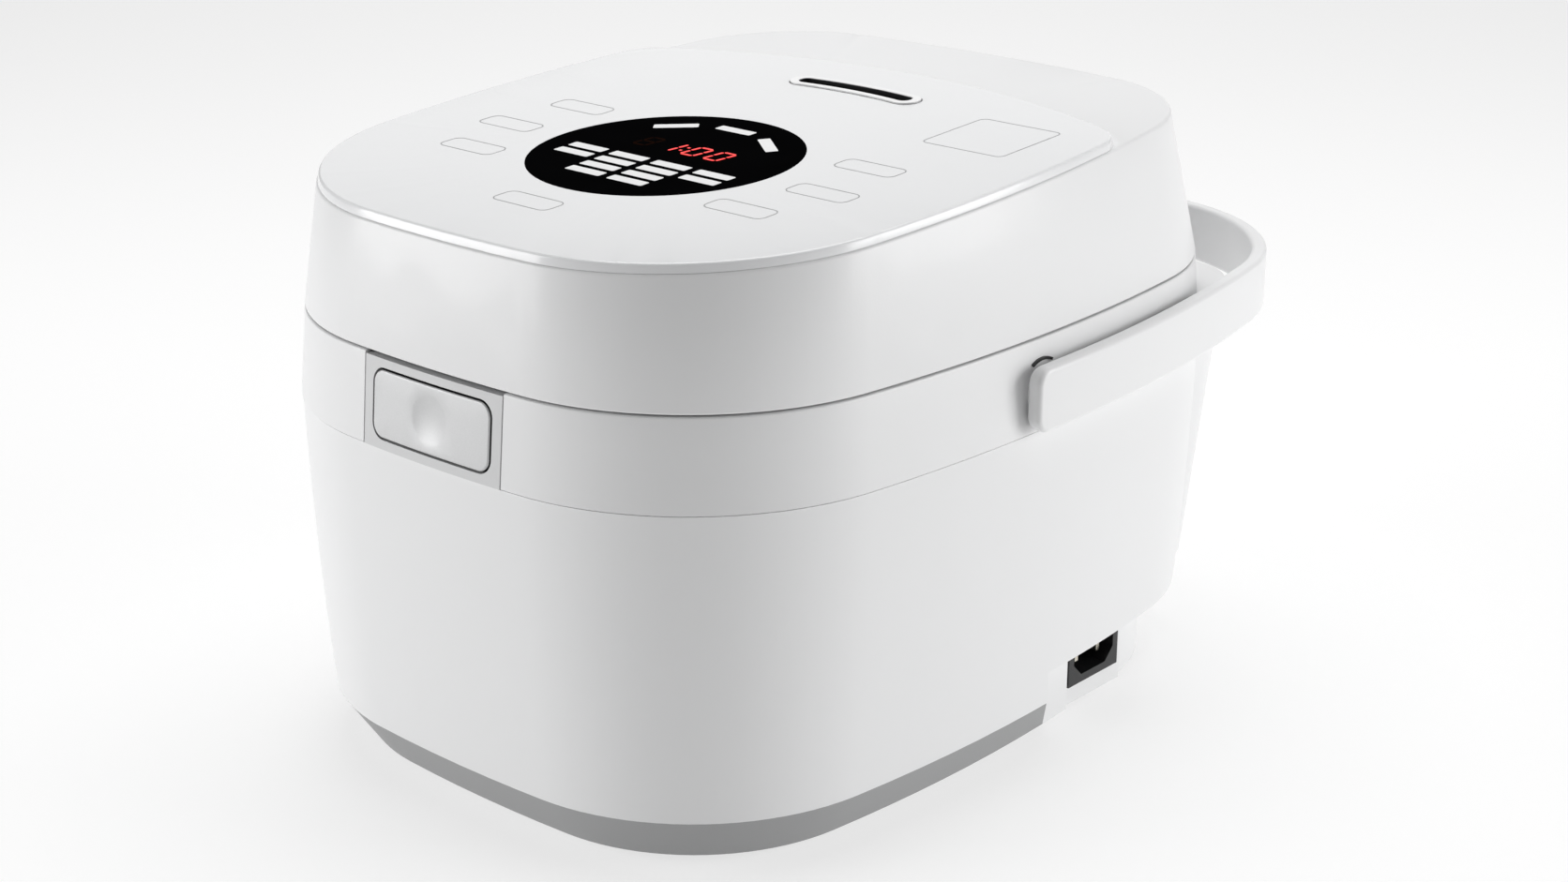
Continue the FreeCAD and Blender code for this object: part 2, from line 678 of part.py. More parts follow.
def make_lower_body_shell():
    outer = shell_block(0)
    shell = outer.cut(shell_block(WALL))
    # The wall stops higher behind the rear base line, where a ledge closes it from below.
    below = behind_rear_base_line(0).common(slab(BASE_EDGE_Z - FIT, BACK_EDGE_Z))
    ledge = outer.common(slab(BACK_EDGE_Z, BACK_EDGE_Z + WALL))
    ledge = ledge.common(behind_rear_base_line(END_WEB))
    ledge = ledge.cut(body_prism(REAR_BASE_OUT - WALL, BACK_EDGE_Z - FIT, BACK_EDGE_Z + WALL + FIT))
    web = outer.common(behind_rear_base_line(END_WEB)).common(slab(BASE_EDGE_Z, BACK_EDGE_Z))
    web = web.cut(rear_base_core(FIT)).cut(behind_rear_base_line(0))
    shell = joined([shell.cut(below), ledge, web])
    columns = []
    holes = []
    for x, y in screw_spots():
        column_bottom = BASE_EDGE_Z
        column_top = column_bottom + COLUMN_HEIGHT
        column = disc(BOSS_R, x, y, column_bottom, column_top)
        rib = box(0, FAR, -RIB / 2, RIB / 2, BACK_EDGE_Z + WALL / 2, column_top)
        rib.rotate(Vector(0, 0, 0), Vector(0, 0, 1), math.degrees(math.atan2(y, x)))
        rib.translate(Vector(x, y, 0))
        columns += [column, rib.common(shell_block(WALL / 2))]
        holes.append(disc(SCREW_R + SEAT, x, y, column_bottom, column_bottom + SCREW_BITE))
    return joined([shell] + columns).cut(holes)


def make_rear_base():
    wall = body_prism(REAR_BASE_OUT, FOOT_HEIGHT, BACK_EDGE_Z)
    wall = wall.cut(body_prism(REAR_BASE_OUT - WALL, FOOT_HEIGHT, BACK_EDGE_Z))
    wall = wall.common(behind_rear_base_line(0))
    y0 = INLET_Y - INLET_PAD_HALF
    y1 = INLET_Y + INLET_PAD_HALF
    wall = wall.cut(box(INLET_FACE_X, FAR, y0, y1, FOOT_HEIGHT, BACK_EDGE_Z))
    pad = box(INLET_FACE_X - WALL, INLET_FACE_X, y0, y1, FOOT_HEIGHT, BACK_EDGE_Z)
    ends = []
    for y in (y0, y1 - WALL):
        end = box(INLET_FACE_X - 2 * WALL, FAR, y, y + WALL, FOOT_HEIGHT, BACK_EDGE_Z)
        ends.append(end.common(body_prism(REAR_BASE_OUT, FOOT_HEIGHT, BACK_EDGE_Z)))
    base = joined([wall, pad] + ends)
    return base.cut(inlet_plug(INLET_RIM / 2 - FIT, FAR))


def inlet_plug(inset, depth):
    # Outline of the inlet, chamfered at its lower corners, drawn inwards from the face.
    half = INLET_HALF_WIDTH - inset
    z0 = INLET_BOTTOM_Z + inset
    z1 = INLET_BOTTOM_Z + INLET_HEIGHT - inset
    points = [(half, z1), (half, z0 + INLET_CORNER), (half - INLET_CORNER, z0),
              (INLET_CORNER - half, z0), (-half, z0 + INLET_CORNER), (-half, z1)]
    ring = [Vector(INLET_FACE_X - depth, INLET_Y + y, z) for y, z in points]
    face = Part.Face(Part.makePolygon(ring + ring[:1]))
    return face.extrude(Vector(depth + INLET_FLANGE, 0, 0)).common(
        box(INLET_FACE_X - INLET_DEPTH, FAR, -FAR, FAR, -FAR, FAR))


def make_power_inlet():
    flange = box(INLET_FACE_X, INLET_FACE_X + INLET_FLANGE, INLET_Y - INLET_HALF_WIDTH,
                 INLET_Y + INLET_HALF_WIDTH, INLET_BOTTOM_Z, INLET_BOTTOM_Z + INLET_HEIGHT)
    barrel = inlet_plug(INLET_RIM / 2, INLET_DEPTH)
    body = joined([flange, barrel])
    body = body.cut(inlet_plug(INLET_RIM, INLET_DEPTH - INLET_BACK))
    return body.cut(inlet_pins(SEAT))


def inlet_pins(clearance):
    pins = []
    middle = INLET_BOTTOM_Z + INLET_HEIGHT / 2
    x0 = INLET_FACE_X - INLET_DEPTH - PIN_TAIL
    x1 = INLET_FACE_X - INLET_DEPTH + INLET_BACK + PIN_LENGTH
    for place in (-1, 0, 1):
        y = INLET_Y + place * PIN_PITCH
        z = middle + PIN_EARTH_RISE * (1 - 2 * abs(place)) / 2
        half_y = PIN_WIDTH / 2 + clearance
        half_z = PIN_HEIGHT / 2 + clearance
        pins.append(box(x0, x1, y - half_y, y + half_y, z - half_z, z + half_z))
    return pins


def make_rear_cover():
    def block(inset, z0, z1):
        radii = (COVER_ARC_R - inset, COVER_SIDE_R - inset, COVER_CORNER_R - inset)
        half_depth = COVER_HALF_DEPTH - inset
        low = outline(COVER_BOTTOM_HALF_WIDTH - inset, half_depth, radii,
                      COVER_REAR_BOTTOM - COVER_HALF_DEPTH, BACK_EDGE_Z)
        high = outline(COVER_TOP_HALF_WIDTH - inset, half_depth, radii,
                       COVER_REAR_TOP - COVER_HALF_DEPTH, COVER_TOP_Z)
        return Part.makeLoft([low, high], True, True).common(slab(z0, z1))

    hollow = block(WALL, BACK_EDGE_Z + WALL, COVER_TOP_Z - WALL)
    cover = block(0, BACK_EDGE_Z, COVER_TOP_Z).cut(hollow)
    return cover.cut([shell_block(-COVER_GAP), band_block(-COVER_GAP)])


def pivot_hole(clearance, x0, x1):
    holes = []
    for side in SIDES:
        start = min(side * x0, side * x1)
        holes.append(rod_x(PIVOT_R + clearance, start, start + x1 - x0, PIVOT_Y, PIVOT_Z))
    return holes


def handle_inner_x():
    return HANDLE_HALF_WIDTH - HANDLE_T


def make_upper_ring():
    outer = band_block(0)
    crest = [edge for edge in outer.Edges if edge.BoundBox.ZMin > SEAM_Z - SEAM_EDGE_R]
    outer = outer.makeFillet(SEAM_EDGE_R, crest)
    ring = outer.cut(band_block(WALL)).common(slab(BAND_BOTTOM_Z + BAND_GAP, SEAM_Z))
    deck = band_block(WALL / 2).common(slab(DECK_BOTTOM_Z, DECK_TOP_Z))
    deck = deck.cut(disc(POT_R + OPENING_GAP, 0, 0, DECK_BOTTOM_Z, DECK_TOP_Z))
    skirt_out = SHELL_TOP_OUT - WALL - FIT
    skirt = body_prism(skirt_out, BAND_BOTTOM_Z - SKIRT_DEPTH, BAND_BOTTOM_Z + SKIRT_RISE)
    skirt = skirt.cut(body_prism(skirt_out - SKIRT_WALL, BAND_BOTTOM_Z - SKIRT_DEPTH,
                                 BAND_BOTTOM_Z + SKIRT_RISE))
    shoulder = band_block(WALL / 2).common(slab(BAND_BOTTOM_Z, BAND_BOTTOM_Z + SKIRT_RISE))
    shoulder = shoulder.cut(body_prism(skirt_out - SKIRT_WALL / 2, BAND_BOTTOM_Z,
                                       BAND_BOTTOM_Z + SKIRT_RISE))
    ring = joined([ring, deck, skirt, shoulder])
    # Bosses for the handle pivots run through the side walls.
    boss_in = BODY_HALF_WIDTH - PIVOT_BOSS_BACK
    boss_out = handle_inner_x() - FIT
    bosses = []
    for side in SIDES:
        start = min(side * boss_in, side * boss_out)
        bosses.append(rod_x(PIVOT_BOSS_R, start, start + boss_out - boss_in, PIVOT_Y, PIVOT_Z))
    # Knuckles for the hinge pin stand behind the back wall.
    knuckle_in = LID_KNUCKLE_OUT + KNUCKLE_GAP
    for side in SIDES:
        x0 = min(side * knuckle_in, side * (knuckle_in + BODY_KNUCKLE_T))
        x1 = x0 + BODY_KNUCKLE_T
        barrel = rod_x(KNUCKLE_R, x0, x1, HINGE_Y, HINGE_Z)
        web = box(x0, x1, HINGE_Y - FAR, HINGE_Y, HINGE_Z - KNUCKLE_R, HINGE_Z + KNUCKLE_R - SEAM_GAP)
        bosses += [barrel, web.cut(band_block(WALL / 2)).common(slab(COVER_TOP_Z, SEAM_Z)).common(
            box(-FAR, FAR, 0, FAR, -FAR, FAR))]
    ring = joined([ring] + bosses)
    cuts = pivot_hole(SEAT, boss_in, boss_out)
    cuts.append(rod_x(HINGE_PIN_R + SEAT, -FAR, FAR, HINGE_Y, HINGE_Z))
    window = BEZEL_HALF_WIDTH + BEZEL_GAP
    front = -BODY_HALF_DEPTH + SHELF_BACK + FIT
    cuts.append(box(-window, window, -FAR, front, BAND_BOTTOM_Z - SKIRT_DEPTH, SEAM_Z))
    slot = LATCH_HALF_WIDTH + EAR_GAP
    slot_front = LATCH_Y - LATCH_T / 2 - LATCH_SWING
    slot_back = LATCH_Y + LATCH_T / 2 + NOSE_REACH + STRIKE_ROOM
    cuts.append(box(-slot, slot, slot_front, slot_back, DECK_BOTTOM_Z, DECK_TOP_Z))
    return ring.cut(cuts)


def make_handle_pivots():
    pivots = []
    boss_in = BODY_HALF_WIDTH - PIVOT_BOSS_BACK
    tip = HANDLE_HALF_WIDTH - PIVOT_BLIND - FIT
    for side in SIDES:
        start = min(side * boss_in, side * tip)
        shaft = rod_x(PIVOT_R, start, start + tip - boss_in, PIVOT_Y, PIVOT_Z)
        back = boss_in - PIVOT_FLANGE_T
        start = min(side * back, side * boss_in)
        flange = rod_x(PIVOT_FLANGE_R, start, start + PIVOT_FLANGE_T, PIVOT_Y, PIVOT_Z)
        pivots.append(joined([shaft, flange]))
    return Part.makeCompound(pivots)


def make_carry_handle():
    def bow(inset):
        radii = (HANDLE_ARC_R - inset, HANDLE_SIDE_R - inset, HANDLE_CORNER_R - inset)
        wire = outline(HANDLE_HALF_WIDTH - inset, HANDLE_REAR - inset, radii, 0, HANDLE_BOTTOM_Z)
        return Part.Face(wire).extrude(Vector(0, 0, HANDLE_HEIGHT))

    strap = bow(0).cut(bow(HANDLE_T))
    strap = strap.common(box(-FAR, FAR, HANDLE_END_Y, FAR, -FAR, FAR))
    front_edges = []
    for edge in edges_along(strap, Vector(1, 0, 0)):
        if abs(edge.BoundBox.YMax - HANDLE_END_Y) < FIT:
            front_edges.append(edge)
    strap = strap.makeFillet(HANDLE_END_R, front_edges)
    strap = strap.makeFillet(HANDLE_EDGE_R, strap.Edges)
    return strap.cut(pivot_hole(RUNNING, 0, HANDLE_HALF_WIDTH - PIVOT_BLIND))


def make_inner_pot():
    outer = rounded_plug(POT_R, POT_CORNER_R, POT_BOTTOM_Z, POT_RIM_Z)
    flange = disc(POT_FLANGE_R, 0, 0, DECK_TOP_Z, POT_RIM_Z)
    inner = rounded_plug(POT_R - POT_WALL, POT_CORNER_R - POT_WALL, POT_BOTTOM_Z + POT_WALL, POT_RIM_Z)
    return joined([outer, flange]).cut(inner)


def make_pot_well():
    corner_r = POT_CORNER_R + WELL_FLOOR_GAP
    outer = rounded_plug(WELL_R + WELL_WALL, corner_r + WELL_WALL, WELL_BOTTOM_Z, DECK_BOTTOM_Z)
    inner = rounded_plug(WELL_R, corner_r, WELL_BOTTOM_Z + WELL_WALL, DECK_BOTTOM_Z)
    flange = disc(WELL_R + WELL_FLANGE, 0, 0, DECK_BOTTOM_Z - WELL_WALL, DECK_BOTTOM_Z)
    well = joined([outer, flange]).cut(inner)
    return well.cut(disc(WELL_HOLE_R, 0, 0, WELL_BOTTOM_Z, WELL_BOTTOM_Z + WELL_WALL))


def make_coil_carrier():
    plate = disc(CARRIER_R, 0, 0, CARRIER_BOTTOM_Z, CARRIER_TOP_Z)
    lip = disc(CARRIER_R, 0, 0, CARRIER_TOP_Z, CARRIER_TOP_Z + CARRIER_LIP)
    lip = lip.cut(disc(CARRIER_R - CARRIER_T, 0, 0, CARRIER_TOP_Z, CARRIER_TOP_Z + CARRIER_LIP))
    hub = disc(HUB_R, 0, 0, HUB_BOTTOM_Z, HUB_TOP_Z)
    return joined([plate, lip, hub]).cut(disc(STEM_R + RUNNING, 0, 0, HUB_BOTTOM_Z, HUB_TOP_Z))


def make_induction_coil():
    # Half turns about two centres give a flat spiral that stays tangent to itself.
    z = CARRIER_TOP_Z + COIL_WIRE_R
    arcs = []
    for half in range(2 * COIL_TURNS):
        radius = COIL_INNER_R + half * COIL_PITCH / 2
        way = 1 if half % 2 == 0 else -1
        centre = 0 if half % 2 == 0 else -COIL_PITCH / 2
        start = Vector(centre + way * radius, 0, z)
        apex = Vector(centre, way * radius, z)
        end = Vector(centre - way * radius, 0, z)
        arcs.append(Part.Arc(start, apex, end).toShape())
    section = Part.makeCircle(COIL_WIRE_R, Vector(COIL_INNER_R, 0, z), Vector(0, 1, 0))
    path = Part.Wire(arcs)
    points = path.discretize(Number=COIL_TURNS * TURN_POINT_COUNT)
    print_least_gap("induction coil", points, COIL_WIRE_R, TURN_POINT_COUNT)
    return path.makePipeShell([Part.Wire([section])], True)


def make_ferrite_bars():
    bars = []
    for index in range(FERRITE_COUNT):
        bar = box(FERRITE_START, FERRITE_START + FERRITE_LENGTH, -FERRITE_WIDTH / 2, FERRITE_WIDTH / 2,
                  CARRIER_BOTTOM_Z - FERRITE_T, CARRIER_BOTTOM_Z)
        bar.rotate(Vector(0, 0, 0), Vector(0, 0, 1), index * 360 / FERRITE_COUNT)
        bars.append(bar)
    return Part.makeCompound(bars)


def make_sensor_plunger():
    cap = disc(SENSOR_R, 0, 0, POT_BOTTOM_Z - SENSOR_T, POT_BOTTOM_Z)
    clip_top = HUB_BOTTOM_Z - STEM_CLIP_GAP
    stem = disc(STEM_R, 0, 0, clip_top - STEM_CLIP_T, POT_BOTTOM_Z - SENSOR_T)
    clip = disc(STEM_CLIP_R, 0, 0, clip_top - STEM_CLIP_T, clip_top)
    return joined([cap, stem, clip])


def make_sensor_spring():
    bottom = HUB_TOP_Z + SENSOR_WIRE_R
    top = POT_BOTTOM_Z - SENSOR_T - SENSOR_WIRE_R
    pitch = (top - bottom) / SENSOR_SPRING_TURNS
    spring = coil_spring("sensor spring", SENSOR_SPRING_R, SENSOR_WIRE_R, pitch, SENSOR_SPRING_TURNS)
    spring.translate(Vector(0, 0, bottom))
    return spring


def make_fan_frame():
    half = FAN_SIZE / 2
    top = FLOOR_TOP_Z + FAN_HEIGHT
    frame = box(FAN_X - half, FAN_X + half, FAN_Y - half, FAN_Y + half, FLOOR_TOP_Z, top)
    frame = frame.cut(disc(FAN_BORE_R, FAN_X, FAN_Y, FLOOR_TOP_Z, top))
    stator_top = FLOOR_TOP_Z + FAN_STATOR_T
    stator = disc(FAN_HUB_R, FAN_X, FAN_Y, FLOOR_TOP_Z, stator_top)
    spokes = []
    for angle in (0, 90):
        spoke = box(-FAN_BORE_R, FAN_BORE_R, -FAN_SPOKE / 2, FAN_SPOKE / 2, FLOOR_TOP_Z, stator_top)
        spoke.rotate(Vector(0, 0, 0), Vector(0, 0, 1), angle)
        spoke.translate(Vector(FAN_X, FAN_Y, 0))
        spokes.append(spoke)
    shaft = disc(FAN_SHAFT_R, FAN_X, FAN_Y, FLOOR_TOP_Z, top)
    return joined([frame, stator, shaft] + spokes)


def make_fan_rotor():
    bottom = FLOOR_TOP_Z + FAN_STATOR_T + FAN_ROTOR_GAP
    top = FLOOR_TOP_Z + FAN_HEIGHT - FAN_ROTOR_GAP
    hub = disc(FAN_HUB_R, 0, 0, bottom, top)
    blades = []
    tip = FAN_BORE_R - FAN_TIP_GAP
    room = disc(tip, 0, 0, bottom, top)
    for index in range(FAN_BLADES):
        blade = box(FAN_HUB_R - FAN_BLADE_T, FAN_BORE_R, -FAN_BLADE_T / 2, FAN_BLADE_T / 2,
                    bottom - FAN_HEIGHT, top + FAN_HEIGHT)
        centre = Vector(0, 0, (bottom + top) / 2)
        blade.rotate(centre, Vector(1, 0, 0), FAN_BLADE_TURN)
        blade.rotate(centre, Vector(0, 0, 1), index * 360 / FAN_BLADES)
        blades.append(blade.common(room))
    rotor = joined([hub] + blades).cut(disc(FAN_SHAFT_R + RUNNING, 0, 0, bottom, top))
    rotor.translate(Vector(FAN_X, FAN_Y, 0))
    return rotor


def make_power_board():
    return box(BOARD_X0, BOARD_X0 + BOARD_LENGTH, BOARD_Y0, BOARD_Y0 + BOARD_WIDTH, BOARD_Z, BOARD_TOP_Z)


def make_heat_sink():
    x0 = BOARD_X0 + SINK_INSET
    x1 = BOARD_X0 + BOARD_LENGTH - SINK_INSET
    y1 = BOARD_Y0 + BOARD_WIDTH - SINK_BACK
    y0 = y1 - SINK_WIDTH
    pieces = [box(x0, x1, y0, y1, BOARD_TOP_Z, BOARD_TOP_Z + SINK_BASE)]
    pitch = (x1 - x0 - SINK_FIN) / (SINK_FINS - 1)
    for index in range(SINK_FINS):
        x = x0 + index * pitch
        pieces.append(box(x, x + SINK_FIN, y0, y1, BOARD_TOP_Z, BOARD_TOP_Z + SINK_HEIGHT))
    return joined(pieces)


def make_capacitors():
    y = BOARD_Y0 + CAPACITOR_R + FIT
    x0 = BOARD_X0 + BOARD_LENGTH / 2 - CAPACITOR_PITCH * (CAPACITOR_COUNT - 1) / 2
    cans = []
    for index in range(CAPACITOR_COUNT):
        cans.append(disc(CAPACITOR_R, x0 + index * CAPACITOR_PITCH, y, BOARD_TOP_Z,
                         BOARD_TOP_Z + CAPACITOR_HEIGHT))
    return Part.makeCompound(cans)


def button_block(inset, y_back):
    half = BUTTON_HALF_WIDTH - inset
    z0 = BUTTON_BOTTOM_Z + inset
    z1 = BUTTON_BOTTOM_Z + BUTTON_HEIGHT - inset
    block = box(-half, half, -FAR, y_back, z0, z1)
    return block.makeFillet(BUTTON_CORNER_R - inset, edges_along(block, Vector(0, 1, 0)))


def make_button_bezel():
    half = BEZEL_HALF_WIDTH
    back = -BODY_HALF_DEPTH + SHELF_BACK
    room = box(-half, half, -FAR, back, BAND_BOTTOM_Z + BEZEL_LIFT, SEAM_Z - BEZEL_DROP)
    plate = band_block(0).cut(band_block(BEZEL_WALL)).common(room)
    plate = plate.cut(button_block(-BUTTON_GAP, 0))
    shelf = box(-half, half, -FAR, back, SEAM_Z - BEZEL_DROP - SHELF_T, SEAM_Z - BEZEL_DROP)
    return joined([plate, shelf.common(band_block(BEZEL_WALL / 2))])


def button_back():
    return -BODY_HALF_DEPTH + BUTTON_WALL


def make_open_button():
    y_back = button_back()
    cap = button_block(0, y_back).common(band_block(-BUTTON_PROUD))
    front = [edge for edge in cap.Edges if edge.BoundBox.YMax < -BODY_HALF_DEPTH]
    cap = cap.makeFillet(BUTTON_EDGE_R, front)
    ball_r = (DIMPLE_R ** 2 + DIMPLE_DEPTH ** 2) / (2 * DIMPLE_DEPTH)
    middle = BUTTON_BOTTOM_Z + BUTTON_HEIGHT / 2
    lean = BAND_BOTTOM_OUT / (SEAM_Z - BAND_BOTTOM_Z)
    face = BODY_HALF_DEPTH + BUTTON_PROUD + lean * (SEAM_Z - middle)
    outward = Vector(0, -1, lean).normalize()
    ball = Part.makeSphere(ball_r, Vector(0, -face, middle) + outward * (ball_r - DIMPLE_DEPTH))
    tip_y = LATCH_Y - LATCH_T - STEM_TIP_GAP - STEM_TIP_R
    stem = box(-STEM_HALF_WIDTH, STEM_HALF_WIDTH, y_back, tip_y, STEM_Z - STEM_TIP_R, STEM_Z + STEM_TIP_R)
    tip = rod_x(STEM_TIP_R, -STEM_HALF_WIDTH, STEM_HALF_WIDTH, tip_y, STEM_Z)
    return joined([cap.cut(ball), stem, tip])


def make_latch_housing():
    bottom = STEM_Z - STEM_TIP_R - HOUSING_BOTTOM_GAP
    front = HOUSING_Y - HOUSING_T
    wall = box(-HOUSING_HALF_WIDTH, HOUSING_HALF_WIDTH, front, HOUSING_Y, bottom, DECK_BOTTOM_Z)
    ears = []
    ear_x = LATCH_HALF_WIDTH + EAR_GAP
    for side in SIDES:
        x0 = min(side * ear_x, side * (ear_x + EAR_T))
        ears.append(box(x0, x0 + EAR_T, HOUSING_Y, LATCH_Y + LATCH_BARREL_R, bottom, DECK_BOTTOM_Z))
    housing = joined([wall] + ears)
    half = STEM_HALF_WIDTH + FIT
    reach = STEM_TIP_R + FIT
    gate = box(-half, half, HOUSING_Y - HOUSING_T, HOUSING_Y, STEM_Z - reach, STEM_Z + reach)
    return housing.cut([gate, rod_x(LATCH_PIN_R + SEAT, -FAR, FAR, LATCH_Y, LATCH_Z)])


def make_latch_lever():
    half = LATCH_HALF_WIDTH
    barrel = rod_x(LATCH_BARREL_R, -half, half, LATCH_Y, LATCH_Z)
    upper = box(-half, half, LATCH_Y - LATCH_T / 2, LATCH_Y + LATCH_T / 2, LATCH_Z, LATCH_TOP_Z)
    nose_y = LATCH_Y + LATCH_T / 2
    nose = box(-half, half, nose_y, nose_y + NOSE_REACH, LATCH_TOP_Z - NOSE_T, LATCH_TOP_Z)
    lower = box(-half, half, LATCH_Y - LATCH_T, LATCH_Y, STEM_Z - LATCH_TAIL, LATCH_Z)
    lever = joined([barrel, upper, nose, lower])
    return lever.cut(rod_x(LATCH_PIN_R + RUNNING, -half, half, LATCH_Y, LATCH_Z))


def make_latch_pin():
    reach = LATCH_HALF_WIDTH + EAR_GAP + EAR_T
    return rod_x(LATCH_PIN_R, -reach, reach, LATCH_Y, LATCH_Z)


def make_button_spring():
    start = button_back() + BUTTON_TRAVEL + FIT + BUTTON_WIRE_R
    end = HOUSING_Y - HOUSING_T - BUTTON_WIRE_R
    pitch = (end - start) / BUTTON_SPRING_TURNS
    spring = coil_spring("button spring", BUTTON_SPRING_R, BUTTON_WIRE_R, pitch, BUTTON_SPRING_TURNS)
    spring.rotate(Vector(0, 0, 0), Vector(1, 0, 0), -90)
    spring.translate(Vector(0, start, BUTTON_BOTTOM_Z + BUTTON_HEIGHT / 2))
    return spring


def make_hinge_pin():
    reach = LID_KNUCKLE_OUT + KNUCKLE_GAP + BODY_KNUCKLE_T
    return rod_x(HINGE_PIN_R, -reach, reach, HINGE_Y, HINGE_Z)


def make_hinge_spring():
    spring = coil_spring("hinge spring", HINGE_SPRING_R, HINGE_WIRE_R, HINGE_SPRING_PITCH,
                         HINGE_SPRING_TURNS)
    spring.rotate(Vector(0, 0, 0), Vector(0, 1, 0), 90)
    spring.translate(Vector(-HINGE_SPRING_PITCH * HINGE_SPRING_TURNS / 2, HINGE_Y, HINGE_Z))
    return spring


def lid_post_spots():
    x = BODY_HALF_WIDTH - LID_POST_INSET_X
    return [(side * x, y) for side in SIDES for y in (LID_POST_FRONT_Y, LID_POST_REAR_Y)]


def lid_board_post_spots():
    x = LID_BOARD_HALF_WIDTH - LID_BOARD_POST_INSET
    y = LID_BOARD_HALF_DEPTH - LID_BOARD_POST_INSET
    return [(side_x * x, DISPLAY_Y + side_y * y) for side_x, side_y in corners()]


def hinge_arm_box(clearance):
    boxes = []
    for side in SIDES:
        x0 = min(side * LID_KNUCKLE_IN, side * LID_KNUCKLE_OUT) - clearance
        x1 = max(side * LID_KNUCKLE_IN, side * LID_KNUCKLE_OUT) + clearance
        boxes.append((x0, x1))
    return boxes


def make_lid_shell():
    outer = lid_block(0).common(under_lid_plane(0))
    rim = [edge for edge in outer.Edges if edge.BoundBox.ZMin > (LID_BOTTOM_Z + LID_RIM_Z) / 2]
    outer = outer.makeFillet(RIM_FILLET, rim)
    hem = [edge for edge in outer.Edges if edge.BoundBox.ZMax < LID_BOTTOM_Z + SEAM_EDGE_R]
    outer = outer.makeFillet(SEAM_EDGE_R, hem)
    cavity = lid_block(WALL).common(under_lid_plane(-LID_DECK))
    shell = outer.cut(cavity)
    posts = []
    for x, y in lid_post_spots():
        post = disc(LID_POST_R, x, y, FRAME_TOP_Z, LID_APEX_Z)
        posts.append(post.common(under_lid_plane(-LID_DECK / 2)))
    for x, y in lid_board_post_spots():
        posts.append(on_lid(disc(BOARD_POST_R, x, y, -MODULE_T, -LID_DECK / 2)))
    shell = joined([shell] + posts)
    cuts = [on_lid(disc(DISPLAY_R - DISPLAY_LEDGE, 0, DISPLAY_Y, -FAR, 0))]
    cuts.append(on_lid(bowed_slot(VENT_HALF_LENGTH - VENT_LEDGE, VENT_HALF_WIDTH - VENT_LEDGE, -FAR, 0)))
    cuts = [cut.common(slab(FRAME_TOP_Z, FAR)) for cut in cuts]
    for x, y in lid_post_spots():
        cuts.append(disc(SCREW_R + SEAT, x, y, FRAME_TOP_Z, FRAME_TOP_Z + SCREW_BITE))
    notch_top = FRAME_BOTTOM_Z + HINGE_ARM_T + FIT
    for x0, x1 in hinge_arm_box(FIT):
        cuts.append(box(x0, x1, BODY_HALF_DEPTH - 4 * WALL, FAR, LID_BOTTOM_Z, notch_top))
    return shell.cut(cuts)


def make_lid_panel():
    plate = lid_block(PANEL_INSET).common(on_lid(slab(0, PANEL_T)))
    plate = plate.common(on_lid(disc(PANEL_REAR_R, 0, PANEL_REAR_Y - PANEL_REAR_R, -PANEL_T, 2 * PANEL_T)))
    ends = []
    for edge in plate.Edges:
        point = edge.BoundBox.Center
        if edge.BoundBox.ZLength > PANEL_T / 2 and point.y > 0 and edge.BoundBox.XLength < PANEL_T:
            if edge.BoundBox.YLength < PANEL_T:
                ends.append(edge)
    plate = plate.makeFillet(PANEL_CORNER_R, ends)
    top = PANEL_T / math.cos(math.radians(LID_SLOPE)) + LID_RIM_Z
    crest = []
    for edge in plate.Edges:
        heights = [vertex.Z - vertex.Y * LID_RISE - top for vertex in edge.Vertexes]
        if max(abs(height) for height in heights) < SEAT:
            crest.append(edge)
    plate = plate.makeFillet(PANEL_EDGE_R, crest)
    holes = [on_lid(disc(DISPLAY_R + DISPLAY_FIT, 0, DISPLAY_Y, -PANEL_T, 2 * PANEL_T))]
    holes.append(on_lid(bowed_slot(VENT_HALF_LENGTH + DISPLAY_FIT, VENT_HALF_WIDTH + DISPLAY_FIT,
                                   -PANEL_T, 2 * PANEL_T)))
    return plate.cut(holes)


def make_display_window():
    return on_lid(disc(DISPLAY_R, 0, DISPLAY_Y, 0, PANEL_T))


def make_display_module():
    return on_lid(box(-MODULE_HALF_WIDTH, MODULE_HALF_WIDTH, DISPLAY_Y - MODULE_HALF_DEPTH,
                      DISPLAY_Y + MODULE_HALF_DEPTH, -MODULE_T, 0))


def make_display_board():
    return on_lid(box(-LID_BOARD_HALF_WIDTH, LID_BOARD_HALF_WIDTH, DISPLAY_Y - LID_BOARD_HALF_DEPTH,
                      DISPLAY_Y + LID_BOARD_HALF_DEPTH, -MODULE_T - BOARD_T, -MODULE_T))


def make_steam_vent_trim():
    ring = bowed_slot(VENT_HALF_LENGTH, VENT_HALF_WIDTH, 0, PANEL_T + VENT_RISE)
    slot = bowed_slot(VENT_SLOT_HALF_LENGTH, VENT_SLOT_HALF_WIDTH, 0, PANEL_T + VENT_RISE)
    return on_lid(ring.cut(slot))


def make_steam_chamber():
    def block(inset, z0):
        half_x = CHAMBER_HALF_WIDTH - inset
        half_y = CHAMBER_HALF_DEPTH - inset
        return box(-half_x, half_x, VENT_Y - half_y, VENT_Y + half_y, z0, LID_APEX_Z)

    chamber = block(0, FRAME_TOP_Z).common(under_lid_plane(-LID_DECK))
    return chamber.cut(block(CHAMBER_WALL, FRAME_TOP_Z))


